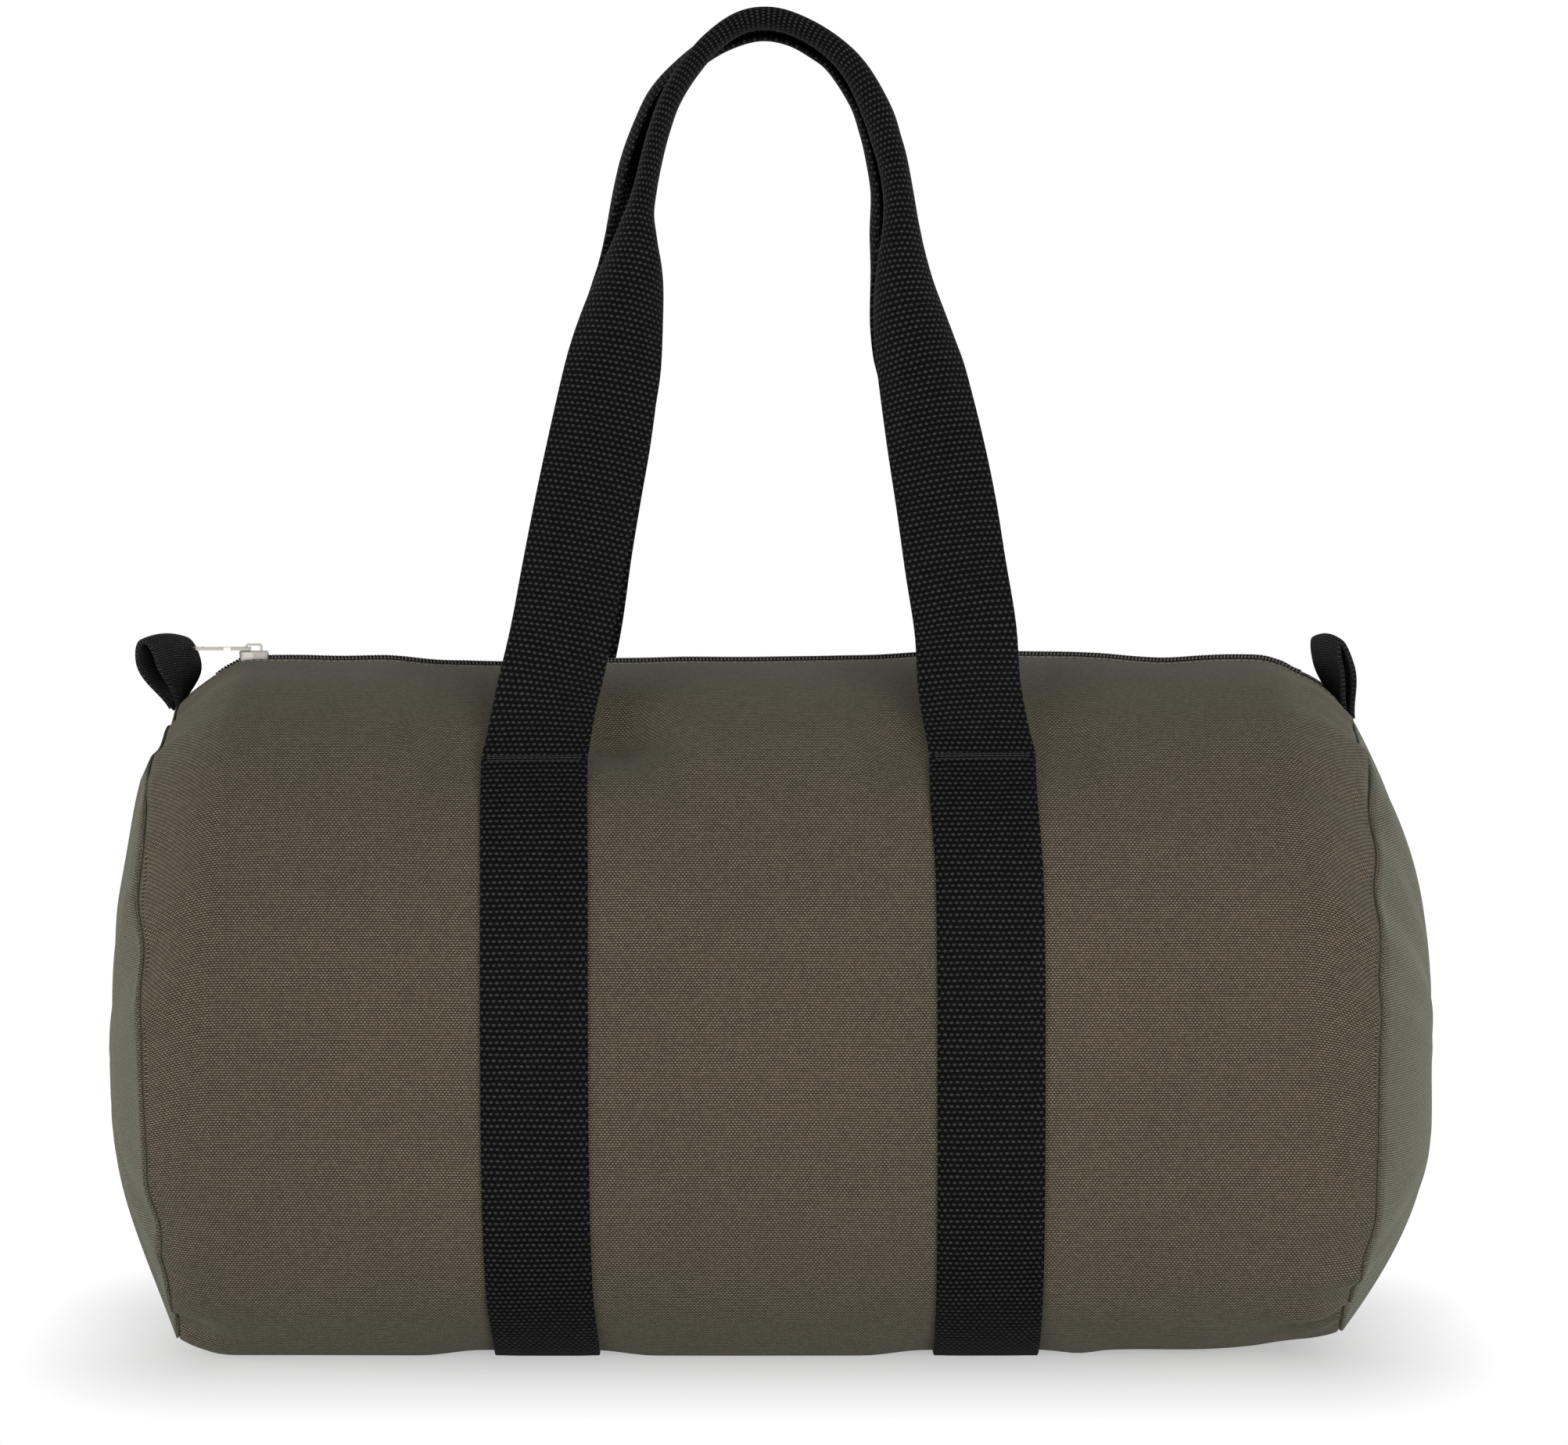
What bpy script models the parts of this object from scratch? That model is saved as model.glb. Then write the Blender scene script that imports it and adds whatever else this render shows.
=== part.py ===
# Canvas barrel hold-all with a top zip, two webbing carrying handles and a pull tab at each end.
#
# Frame: +X runs along the bag, to the right of someone facing its front. The front looks along -Y
# and +Z is up. The origin is on the ground under the middle of the bag. All lengths are in metres.

import math

import bmesh
import bpy
from mathutils import Vector

# Cloth, webbing and clearances
CANVAS = 0.0010                 # thickness of the canvas
WEBBING = 0.0022                # thickness of the cotton webbing
WEBBING_WIDTH = 0.040
FIT_GAP = 0.0003                # between pieces that are sewn or seated together
BINDING = 0.0007                # thickness of the binding tape

# Bag body
BAG_LENGTH = 0.458              # from seam to seam
BAG_DEPTH = 0.260
BAG_HEIGHT = 0.260              # canvas alone, between its lowest and highest lines
BASE_LIFT = WEBBING + FIT_GAP   # the sewn straps pass under the bag and carry it
CROWN_POWER = 2.2               # roundness of the upper half of the section
BELLY_POWER = 3.0               # roundness of the lower half, which is squarer
BASE_FLAT_SHARE = 0.05          # part of the half height that the ground takes off the belly
SHOULDER_LENGTH = 0.028         # length over which the body draws in to each seam
SHOULDER_DROP = 0.022           # how far its top line falls there
SHOULDER_RISE = 0.006           # how far its lowest line rises there
SHOULDER_PINCH = 0.007          # how far each side draws in there
SEAM_FOLD = 0.0020              # radius of the fold where a panel turns in to the seam
SEAM_ALLOWANCE = 0.0100         # height of the turned-in flange
END_BULGE = 0.0246              # how far an end panel domes out past its fold
END_BULGE_POWER = 2.6
END_SAG = 0.012                 # how far below the middle the dome stands out most
BINDING_LEG = 0.0062

# Zip
ZIP_SLOT = 0.0120               # between the two canvas edges along the zip
TAPE = 0.0007                   # thickness of the zip tape
TAPE_OUTER = 0.0165             # from the zip's middle line to the tape's outer edge
TAPE_INNER = 0.00125            # from the zip's middle line to the tape's inner edge
CHAIN_HALF = 0.0027             # from the zip's middle line to the back of a coil
CHAIN_HEIGHT = 0.0024
COIL_REACH = 0.0005             # how far a tooth passes the middle line into the other row
COIL_PITCH = 0.0030
CHAIN_SETBACK = 0.0160          # from a seam back to the end of the chain
CHAIN_PARTING = 0.0018          # how far each row stands off the middle line past the slider

# Slider and pull
SLIDER_LENGTH = 0.0110
SLIDER_TAIL_HALF = 0.0040
SLIDER_NOSE_HALF = 0.0057
SLIDER_PLATE = 0.0009
SLIDER_WEDGE_HALF = TAPE_INNER - FIT_GAP
SLIDER_SETBACK = 0.0175         # from the end of the chain to the slider's middle, with the zip shut
SLIDER_BEVEL = 0.0004
CROWN_LENGTH = 0.0066
CROWN_WIDTH = 0.0022
CROWN_STRAP = 0.0008            # thickness of the crown's metal
CROWN_OPENING = 0.0020          # clear height under the crown
PULL_LENGTH = 0.0220
PULL_WIDTH = 0.0072
PULL_TIP_WIDTH = 0.0056
PULL_THICKNESS = 0.0011
PULL_WINDOW = 0.0060
PULL_HOLE = 0.0034

# Straps and handles
STRAP_SPACING = 0.168           # between the middle lines of the two straps
STITCH_DROP = 0.0345            # from the bag's top down to where the handles come free
HANDLE_RISE = 0.2890            # along the lean, from the stitching to the grip's middle line
GRIPS_APART = 0.0424            # between the outer faces of the two grips
GRIP_TURN = 5.2                 # radians of roll in the webbing at the grip
GRIP_WIDTH_SHARE = 0.86
GRIP_DEPTH_SHARE = 0.80
ARCH_LOWER_SHARE = (0.68, 0.60)
ARCH_UPPER_SHARE = (0.62, 1.00)
ROLL_START_SHARE = 0.50
ROLL_END_SHARE = 0.78

# End pull tabs
TAB_WIDTH = 0.025
TAB_HEIGHT = 0.0285
TAB_BELLY = 0.0150              # widest part of the loop, over its middle lines
TAB_LEAN_SHARE = 0.12           # outward lean of the loop, by its height

# Mesh steps
GIRTH_STEPS = 38
SHOULDER_STEPS = 4
FOLD_STEPS = 2
DOME_SHARES = (0.94, 0.82, 0.62, 0.34)
ARCH_STEPS = 34
ROLL_STEPS = 6
TAB_STEPS = 20
TEETH_IN_RUN = 10
ROUND_STEPS = 8
THROAT_STEPS = 6
WELD = 0.00001
SLOPE_LENGTH = 0.0005           # step over which a slope along the bag is read
SLOPE_SHARE = 0.0005            # the same, as a share of a turn or of a handle
FOLD_ANGLE = math.radians(40)   # sharpest turn between faces that is still shaded smooth
TAB_WIDEST_SHARE = 0.77
OVERRUN = 0.002

HALF_LENGTH = BAG_LENGTH / 2
CHAIN_END = HALF_LENGTH - CHAIN_SETBACK
SLIDER_PLACE = SLIDER_SETBACK - CHAIN_END
SEAM_FACE = HALF_LENGTH - FIT_GAP / 2
SHOULDER_START = HALF_LENGTH - SHOULDER_LENGTH
BAG_TOP = BASE_LIFT + BAG_HEIGHT
STITCH_HEIGHT = BAG_TOP - STITCH_DROP
TAPE_TOP = BAG_TOP - CANVAS - FIT_GAP
CHAIN_BASE = TAPE_TOP + FIT_GAP
CHAIN_TOP = CHAIN_BASE + CHAIN_HEIGHT
SLIDER_TAIL = SLIDER_PLACE + SLIDER_LENGTH / 2
SLIDER_NOSE = SLIDER_PLACE - SLIDER_LENGTH / 2
SLIDER_THROAT = SLIDER_PLACE + SLIDER_LENGTH / 4
PLATE_TOP = CHAIN_TOP + FIT_GAP + SLIDER_PLATE
PLATE_BASE = TAPE_TOP - TAPE - FIT_GAP - SLIDER_PLATE
PULL_RADIUS = PULL_THICKNESS / 2
PULL_AXIS_HEIGHT = PLATE_TOP + FIT_GAP + PULL_RADIUS
PULL_AXIS_PLACE = SLIDER_PLACE - CROWN_LENGTH / 2 + CROWN_STRAP + FIT_GAP + PULL_RADIUS


def clear_scene():
    for leftover in list(bpy.data.objects):
        bpy.data.objects.remove(leftover)


def make_material(name, colour, roughness, metallic):
    material = bpy.data.materials.new(name)
    material.use_nodes = True
    shader = material.node_tree.nodes["Principled BSDF"]
    shader.inputs["Base Color"].default_value = (*colour, 1.0)
    shader.inputs["Roughness"].default_value = roughness
    shader.inputs["Metallic"].default_value = metallic
    return material


def add_piece(name, mesh_builder, material, pivot=(0.0, 0.0, 0.0)):
    """Put a finished bmesh, drawn in the bag's frame, into an object whose origin is its pivot."""
    centre = Vector(pivot)
    bmesh.ops.translate(mesh_builder, verts=mesh_builder.verts, vec=-centre)
    mesh = bpy.data.meshes.new(name)
    mesh_builder.to_mesh(mesh)
    mesh_builder.free()
    mesh.shade_smooth()
    mesh.set_sharp_from_angle(angle=FOLD_ANGLE)
    mesh.materials.append(material)
    piece = bpy.data.objects.new(name, mesh)
    piece.location = centre
    bpy.context.scene.collection.objects.link(piece)
    return piece


def thicken(piece, thickness, side):
    """Give a sheet its thickness on one side: 1 is out along its normals, -1 is in, 0 is both."""
    wall = piece.modifiers.new("thickness", "SOLIDIFY")
    wall.thickness = thickness
    wall.offset = side
    wall.use_even_offset = True
    return wall


def smooth_step(value, start, end):
    share = min(max((value - start) / (end - start), 0.0), 1.0)
    return share * share * (3 - 2 * share)


def blend(start, end, share):
    return start + (end - start) * share


def lay_sheet(place, long_steps, wide_steps, welded=False):
    """Lay a flat grid over a form. place turns two shares, along and across, into a point."""
    sheet = bmesh.new()
    bmesh.ops.create_grid(sheet, x_segments=long_steps, y_segments=wide_steps, size=0.5)
    for vertex in sheet.verts:
        vertex.co = place(vertex.co.x + 0.5, vertex.co.y + 0.5)
    if welded:
        bmesh.ops.remove_doubles(sheet, verts=sheet.verts, dist=WELD)
    return sheet


def turn_sheet(sheet, score, outwards):
    """Make an open sheet's faces look outwards, going by the face whose middle scores least."""
    sheet.normal_update()
    sample = min(sheet.faces, key=lambda face: score(face.calc_center_median()))
    if sample.normal.dot(outwards) < 0:
        bmesh.ops.reverse_faces(sheet, faces=sheet.faces)


def turn_solid(solid):
    """Make a closed solid's faces look outwards."""
    bmesh.ops.recalc_face_normals(solid, faces=solid.faces)
    if solid.calc_volume(signed=True) < 0:
        bmesh.ops.reverse_faces(solid, faces=solid.faces)


# Shape of the bag: one rounded section, drawn in towards each seam

def shoulder_share(x):
    """0 along the straight part of the bag, 1 at the seam."""
    share = max(abs(x) - SHOULDER_START, 0.0) / SHOULDER_LENGTH
    return min(share, 1.0) ** 2


def section_top(x):
    return BAG_TOP - SHOULDER_DROP * shoulder_share(x)


def section_bottom(x):
    return BASE_LIFT + SHOULDER_RISE * shoulder_share(x)


def section_point(x, turn):
    """Point of the canvas's outer face. turn goes once round, from the top by way of the front."""
    angle = math.tau * turn
    across = math.sin(angle)
    up = math.cos(angle)
    power = CROWN_POWER if up > 0 else BELLY_POWER
    half_depth = BAG_DEPTH / 2 - SHOULDER_PINCH * shoulder_share(x)
    top = section_top(x)
    bottom = section_bottom(x)
    waist = (top + bottom) / 2
    y_share = -math.copysign(abs(across) ** (2 / power), across)
    z_share = math.copysign(abs(up) ** (2 / power), up)
    if z_share > 0:
        return Vector((x, half_depth * y_share, waist + (top - waist) * z_share))
    flat_share = 1 - BASE_FLAT_SHARE
    drop_share = min(-z_share / flat_share, 1.0)
    return Vector((x, half_depth * y_share, waist - (waist - bottom) * drop_share))


def around_bag(x, turn):
    """Direction of the outer face along its section, towards a greater turn."""
    before = section_point(x, turn - SLOPE_SHARE)
    after = section_point(x, turn + SLOPE_SHARE)
    return (after - before).normalized()


def rim_point(x, turn, inset):
    """Point a distance in from the outer face, within its section."""
    along = around_bag(x, turn)
    return section_point(x, turn) - Vector((0.0, along.z, -along.y)) * inset


def bag_point(x, turn, lift):
    """Point a distance out from the outer face, square to the cloth."""
    inwards_x = section_point(x - SLOPE_LENGTH, turn)
    outwards_x = section_point(x + SLOPE_LENGTH, turn)
    normal = around_bag(x, turn).cross(outwards_x - inwards_x).normalized()
    return section_point(x, turn) + normal * lift


def turn_at_height(height):
    """Turn, on the front of the straight part, where the outer face reaches a height."""
    waist = (BAG_TOP + BASE_LIFT) / 2
    share = (height - waist) / (BAG_TOP - waist)
    return math.acos(share ** (CROWN_POWER / 2)) / math.tau


def turn_at_width(offset):
    """Turn, near the top, where the outer face is this far to the front of the middle line."""
    share = offset / (BAG_DEPTH / 2)
    return math.asin(share ** (CROWN_POWER / 2)) / math.tau


def girth_turns():
    """Turns of the cuts round the body. The pieces that lie on the canvas are cut at the same ones."""
    slot_turn = turn_at_width(ZIP_SLOT / 2)
    tape_turn = turn_at_width(TAPE_OUTER)
    between = [blend(tape_turn, 1 - tape_turn, step / GIRTH_STEPS) for step in range(GIRTH_STEPS + 1)]
    return [slot_turn] + between + [1 - slot_turn]


def ring_turns():
    """The same cuts, carried on across the zip to where they start."""
    turns = girth_turns()
    return turns + [1 + turns[0]]


def pick(values, share):
    """Value at a share of the way along a list, for a grid with a row at each value."""
    return values[round(share * (len(values) - 1))]


def fold_profile(face, outwards):
    """Stations (x, inset) from the tip of a seam flange, round its fold, to the outer face.

    face is the flange's outer face and outwards is the way the panel leaves the seam along X.
    """
    stations = [(face, SEAM_ALLOWANCE)]
    for step in range(FOLD_STEPS + 1):
        angle = math.pi / 2 * step / FOLD_STEPS
        x = face + outwards * SEAM_FOLD * (1 - math.cos(angle))
        stations.append((x, SEAM_FOLD * (1 - math.sin(angle))))
    return stations


# Canvas panels

def body_stations():
    """Stations (x, inset) of the main panel, from its left flange to its right one."""
    half = fold_profile(SEAM_FACE, -1)
    fold_end = half[-1][0]
    for step in range(1, SHOULDER_STEPS + 1):
        half.append((blend(fold_end, SHOULDER_START, step / SHOULDER_STEPS), 0.0))
    left = [(-x, inset) for x, inset in half]
    return left + half[::-1]


def add_main_panel(canvas):
    """One length of canvas rolled into a barrel, open along the zip and at both ends."""
    stations = body_stations()
    turns = girth_turns()

    def place(along, around):
        x, inset = pick(stations, along)
        return rim_point(x, pick(turns, around), inset)

    sheet = lay_sheet(place, len(stations) - 1, len(turns) - 1)
    turn_sheet(sheet, lambda middle: middle.z, Vector((0.0, 0.0, -1.0)))
    panel = add_piece("main_panel", sheet, canvas)
    thicken(panel, CANVAS, -1)


def add_end_panel(name, side, canvas):
    """A round of canvas, domed by what the bag holds, with its edge turned in at the seam."""
    face = HALF_LENGTH + FIT_GAP / 2
    rim = fold_profile(face, 1)
    rim_x = rim[-1][0]
    rings = [(x, inset, 1.0) for x, inset in rim]
    for share in DOME_SHARES:
        rings.append((rim_x + END_BULGE * (1 - share ** END_BULGE_POWER), 0.0, share))
    peak_height = (section_top(HALF_LENGTH) + section_bottom(HALF_LENGTH)) / 2 - END_SAG
    peak = Vector((side * (rim_x + END_BULGE), 0.0, peak_height))
    turns = ring_turns()

    def place(around, inwards):
        x, inset, share = pick(rings, inwards)
        edge = rim_point(HALF_LENGTH, pick(turns, around), inset)
        return Vector((side * x, blend(peak.y, edge.y, share), blend(peak.z, edge.z, share)))

    sheet = lay_sheet(place, len(turns) - 1, len(rings) - 1, welded=True)
    open_edges = [edge for edge in sheet.edges if edge.is_boundary]
    inner_edges = [edge for edge in open_edges if abs(edge.verts[0].co.x) > rim_x]
    closing = bmesh.ops.edgeloop_fill(sheet, edges=inner_edges)
    cap = bmesh.ops.poke(sheet, faces=closing["faces"])
    cap["verts"][0].co = peak
    bmesh.ops.recalc_face_normals(sheet, faces=sheet.faces)
    turn_sheet(sheet, lambda middle: -side * middle.x, Vector((side, 0.0, 0.0)))
    panel = add_piece(name, sheet, canvas)
    thicken(panel, CANVAS, -1)


def add_seam_binding(name, side, tape):
    """Binding tape folded over the two turned-in edges of a seam, inside the bag."""
    leg_place = FIT_GAP / 2 + CANVAS + FIT_GAP
    tip = SEAM_ALLOWANCE + FIT_GAP
    corners = (
        (-leg_place, tip - BINDING_LEG),
        (-leg_place, tip),
        (leg_place, tip),
        (leg_place, tip - BINDING_LEG),
    )

    turns = ring_turns()

    def place(around, over):
        offset, inset = pick(corners, over)
        point = rim_point(HALF_LENGTH, pick(turns, around), inset)
        point.x = side * (HALF_LENGTH + offset)
        return point

    sheet = lay_sheet(place, len(turns) - 1, len(corners) - 1, welded=True)
    bmesh.ops.recalc_face_normals(sheet, faces=sheet.faces)
    turn_sheet(sheet, lambda middle: -side * middle.x, Vector((side, 0.0, 0.0)))
    ring = add_piece(name, sheet, tape)
    thicken(ring, BINDING, 1)


# Zip

def add_zip_tape(name, side, tape):
    """One woven tape, sewn under the canvas edge, from seam to seam."""
    stations = [x for x, inset in body_stations() if inset == 0.0]
    turns = [turn_at_width(width) for width in (TAPE_INNER, ZIP_SLOT / 2, TAPE_OUTER)]

    def place(along, across):
        point = bag_point(pick(stations, along), pick(turns, across), -CANVAS - FIT_GAP)
        point.y = point.y * side
        return point

    sheet = lay_sheet(place, len(stations) - 1, len(turns) - 1)
    turn_sheet(sheet, lambda middle: -middle.z, Vector((0.0, 0.0, 1.0)))
    strip = add_piece(name, sheet, tape)
    thicken(strip, TAPE, -1)


def row_parting(x):
    """How far a row of teeth stands off the middle line: nothing where the slider has closed it."""
    return CHAIN_PARTING * smooth_step(-x, -SLIDER_THROAT, -SLIDER_NOSE)


def wedge_half(x):
    """Half width of the slider's wedge, which keeps clear of the parting teeth."""
    return min(max(row_parting(x) - COIL_REACH - FIT_GAP, 0.0), SLIDER_WEDGE_HALF)


def add_zip_coil(name, side, first_share, nylon):
    """One row of the chain: teeth along a backing cord, half a pitch out of step with the other.

    The row is drawn as a comb, a run of teeth at a time, raised to its height and then laid
    along the zip, where it parts past the slider and turns down at the ends.
    """
    tooth = COIL_PITCH / 2 - FIT_GAP
    cord_inner = COIL_REACH + FIT_GAP
    count = int(2 * CHAIN_END / COIL_PITCH) - 1
    start = -CHAIN_END + first_share * COIL_PITCH
    comb = bmesh.new()

    def corner(x, y):
        return comb.verts.new((x, y, 0.0))

    run_start = [corner(-CHAIN_END, CHAIN_HALF), corner(-CHAIN_END, cord_inner)]
    index = 0
    while index < count:
        near_end = abs(start + index * COIL_PITCH) > SHOULDER_START - TEETH_IN_RUN * COIL_PITCH
        last = min(index + (2 if near_end else TEETH_IN_RUN), count)
        outline = list(run_start)
        for each in range(index, last):
            left = start + each * COIL_PITCH
            outline.append(corner(left, cord_inner))
            outline.append(corner(left, -COIL_REACH))
            outline.append(corner(left + tooth, -COIL_REACH))
            outline.append(corner(left + tooth, cord_inner))
        run_end = start + last * COIL_PITCH - FIT_GAP if last < count else CHAIN_END
        outline.append(corner(run_end, cord_inner))
        outline.append(corner(run_end, CHAIN_HALF))
        comb.faces.new(outline)
        run_start = [outline[-1], outline[-2]]
        index = last
    raised = bmesh.ops.extrude_face_region(comb, geom=comb.faces[:])
    tops = [item for item in raised["geom"] if isinstance(item, bmesh.types.BMVert)]
    bmesh.ops.translate(comb, verts=tops, vec=(0.0, 0.0, CHAIN_HEIGHT))
    for vertex in comb.verts:
        x, y, z = vertex.co
        drop = BAG_TOP - section_top(x)
        vertex.co = (x, side * (y + row_parting(x)), CHAIN_BASE + z - drop)
    turn_solid(comb)
    add_piece(name, comb, nylon)


def draw_plate(outline, base, top):
    """Raise a closed outline of (x, y) points from one height to another."""
    plate = bmesh.new()
    corners = [plate.verts.new((x, y, base)) for x, y in outline]
    plate.faces.new(corners)
    raised = bmesh.ops.extrude_face_region(plate, geom=plate.faces[:])
    tops = [item for item in raised["geom"] if isinstance(item, bmesh.types.BMVert)]
    bmesh.ops.translate(plate, verts=tops, vec=(0.0, 0.0, top - base))
    turn_solid(plate)
    return plate


def cut_with(piece, cutter, operation="DIFFERENCE"):
    cutter.hide_render = True
    cutter.display_type = "WIRE"
    cut = piece.modifiers.new(cutter.name, "BOOLEAN")
    cut.operation = operation
    cut.solver = "EXACT"
    cut.object = cutter


def slider_outline():
    """Plan of the slider body: narrow at its tail, wide at its nose, with rounded corners."""
    corner = SLIDER_TAIL_HALF / 4
    front = [
        (SLIDER_TAIL, SLIDER_TAIL_HALF - corner),
        (SLIDER_TAIL - corner, SLIDER_TAIL_HALF),
        (SLIDER_PLACE, SLIDER_TAIL_HALF),
        (SLIDER_NOSE + 2 * corner, SLIDER_NOSE_HALF),
        (SLIDER_NOSE + corner, SLIDER_NOSE_HALF),
        (SLIDER_NOSE, SLIDER_NOSE_HALF - 2 * corner),
    ]
    back = [(x, -y) for x, y in front[::-1]]
    return front + back


def add_slider(metal):
    """Slider body with its two plates, the wedge between them and the crown on top."""
    block = draw_plate(slider_outline(), PLATE_BASE, PLATE_TOP)
    rims = [edge for edge in block.edges if len({round(vert.co.z, 6) for vert in edge.verts}) == 1]
    bmesh.ops.bevel(
        block, geom=rims, offset=SLIDER_BEVEL, segments=1, profile=0.5,
        affect="EDGES", material=-1,
    )
    slider = add_piece("zip_slider", block, metal, (SLIDER_PLACE, 0.0, BAG_TOP))
    throat = [blend(SLIDER_THROAT, SLIDER_NOSE, step / THROAT_STEPS) for step in range(THROAT_STEPS + 1)]
    places = [SLIDER_TAIL + OVERRUN] + throat + [SLIDER_NOSE - OVERRUN]
    inner_line = [(x, wedge_half(x)) for x in places]
    outer_line = [(x, CHAIN_HALF + row_parting(x) + FIT_GAP) for x in places]
    side_line = [(places[0], SLIDER_NOSE_HALF + OVERRUN), (places[-1], SLIDER_NOSE_HALF + OVERRUN)]
    channel = inner_line + outer_line[::-1]
    slit = inner_line + side_line[::-1]
    for side in (1, -1):
        cuts = (
            ("coil_channel", channel, TAPE_TOP, CHAIN_TOP + FIT_GAP),
            ("tape_slit", slit, TAPE_TOP - TAPE - FIT_GAP, TAPE_TOP + FIT_GAP),
        )
        for label, outline, base, top in cuts:
            plan = [(x, side * y) for x, y in outline]
            cutter = add_piece(f"{label}_{side}", draw_plate(plan, base, top), metal)
            cut_with(slider, cutter)
    crown = add_piece("slider_crown", draw_crown(), metal)
    cut_with(slider, crown, "UNION")
    return slider


def draw_crown():
    """Bridge on the slider's top plate: a bent strip whose two feet stand in the plate."""
    foot = PLATE_TOP - SLIDER_PLATE / 2
    roof = PLATE_TOP + CROWN_OPENING + CROWN_STRAP
    half = CROWN_LENGTH / 2
    shoulder = CROWN_STRAP
    outer = [(-half, foot), (-half, roof - shoulder), (shoulder - half, roof)]
    inner_half = half - CROWN_STRAP
    inner = [(-inner_half, foot), (-inner_half, roof - CROWN_STRAP)]
    profile = outer + [(-x, z) for x, z in outer[::-1]]
    profile += [(-x, z) for x, z in inner] + inner[::-1]
    crown = bmesh.new()
    corners = [crown.verts.new((SLIDER_PLACE + x, -CROWN_WIDTH / 2, z)) for x, z in profile]
    crown.faces.new(corners)
    swept = bmesh.ops.extrude_face_region(crown, geom=crown.faces[:])
    far = [item for item in swept["geom"] if isinstance(item, bmesh.types.BMVert)]
    bmesh.ops.translate(crown, verts=far, vec=(0.0, CROWN_WIDTH, 0.0))
    turn_solid(crown)
    return crown


def add_pull(metal):
    """Flat pull that hangs on the slider's crown, with a window at its eye and a hole at its tip."""
    eye_x = PULL_AXIS_PLACE + PULL_RADIUS
    tip_x = PULL_AXIS_PLACE - PULL_LENGTH
    neck_x = PULL_AXIS_PLACE - PULL_WINDOW - 2 * PULL_RADIUS
    corner = PULL_TIP_WIDTH / 4
    front = [
        (eye_x, PULL_WIDTH / 2 - PULL_RADIUS),
        (eye_x - PULL_RADIUS, PULL_WIDTH / 2),
        (neck_x, PULL_WIDTH / 2),
        (neck_x - 2 * corner, PULL_TIP_WIDTH / 2),
        (tip_x + corner, PULL_TIP_WIDTH / 2),
        (tip_x, PULL_TIP_WIDTH / 2 - corner),
    ]
    outline = front + [(x, -y) for x, y in front[::-1]]
    base = PULL_AXIS_HEIGHT - PULL_RADIUS
    top = PULL_AXIS_HEIGHT + PULL_RADIUS
    plate = draw_plate(outline, base, top)
    eye = [
        edge for edge in plate.edges
        if all(abs(vert.co.x - eye_x) < WELD for vert in edge.verts)
        and abs(edge.verts[0].co.y - edge.verts[1].co.y) > PULL_WIDTH / 2
    ]
    bmesh.ops.bevel(
        plate, geom=eye, offset=PULL_RADIUS - WELD, segments=3, profile=0.5,
        affect="EDGES", material=-1,
    )
    pull = add_piece("zip_pull", plate, metal, (PULL_AXIS_PLACE, 0.0, PULL_AXIS_HEIGHT))
    window_half = CROWN_WIDTH / 2 + FIT_GAP
    window = [
        (PULL_AXIS_PLACE - PULL_RADIUS, window_half),
        (PULL_AXIS_PLACE - PULL_RADIUS - PULL_WINDOW, window_half),
        (PULL_AXIS_PLACE - PULL_RADIUS - PULL_WINDOW, -window_half),
        (PULL_AXIS_PLACE - PULL_RADIUS, -window_half),
    ]
    cutter = draw_plate(window, base - OVERRUN, top + OVERRUN)
    cut_with(pull, add_piece("pull_window", cutter, metal))
    hole = bmesh.new()
    bmesh.ops.create_cone(
        hole, cap_ends=True, segments=2 * ROUND_STEPS, radius1=PULL_HOLE / 2,
        radius2=PULL_HOLE / 2, depth=PULL_THICKNESS + OVERRUN,
    )
    middle = Vector((tip_x + PULL_TIP_WIDTH / 2, 0.0, PULL_AXIS_HEIGHT))
    bmesh.ops.translate(hole, verts=hole.verts, vec=middle)
    cut_with(pull, add_piece("pull_hole", hole, metal))
    return pull


# Webbing

def add_strap(name, middle, webbing):
    """Webbing sewn to the canvas from one row of stitching, under the bag, to the other."""
    first_turn = turn_at_height(STITCH_HEIGHT)
    between = [turn for turn in girth_turns() if first_turn < turn < 1 - first_turn]
    turns = [first_turn] + between + [1 - first_turn]

    def place(along, across):
        x = middle + blend(-1, 1, across) * WEBBING_WIDTH / 2
        return bag_point(x, pick(turns, along), FIT_GAP)

    sheet = lay_sheet(place, len(turns) - 1, 1)
    turn_sheet(sheet, lambda middle: middle.z, Vector((0.0, 0.0, -1.0)))
    strap = add_piece(name, sheet, webbing)
    thicken(strap, WEBBING, 1)


def arch_point(share):
    """Middle line of a handle in its own plane: (x, rise), once over from left foot to right."""
    half = 1 - abs(2 * share - 1)
    rest = 1 - half
    lower_x, lower_rise = ARCH_LOWER_SHARE
    upper_x, upper_rise = ARCH_UPPER_SHARE
    x_share = rest ** 3 + 3 * rest ** 2 * half * lower_x + 3 * rest * half ** 2 * upper_x
    rise_share = 3 * rest ** 2 * half * lower_rise + 3 * rest * half ** 2 * upper_rise + half ** 3
    side = -1 if share < 1 / 2 else 1
    return Vector((side * x_share * STRAP_SPACING / 2, rise_share * HANDLE_RISE))


def handle_pivot(side):
    """Point on the outer face of the sewn webbing, at its last row of stitching."""
    pivot = bag_point(0.0, turn_at_height(STITCH_HEIGHT), FIT_GAP + WEBBING)
    pivot.y = pivot.y * -side
    return pivot


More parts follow.
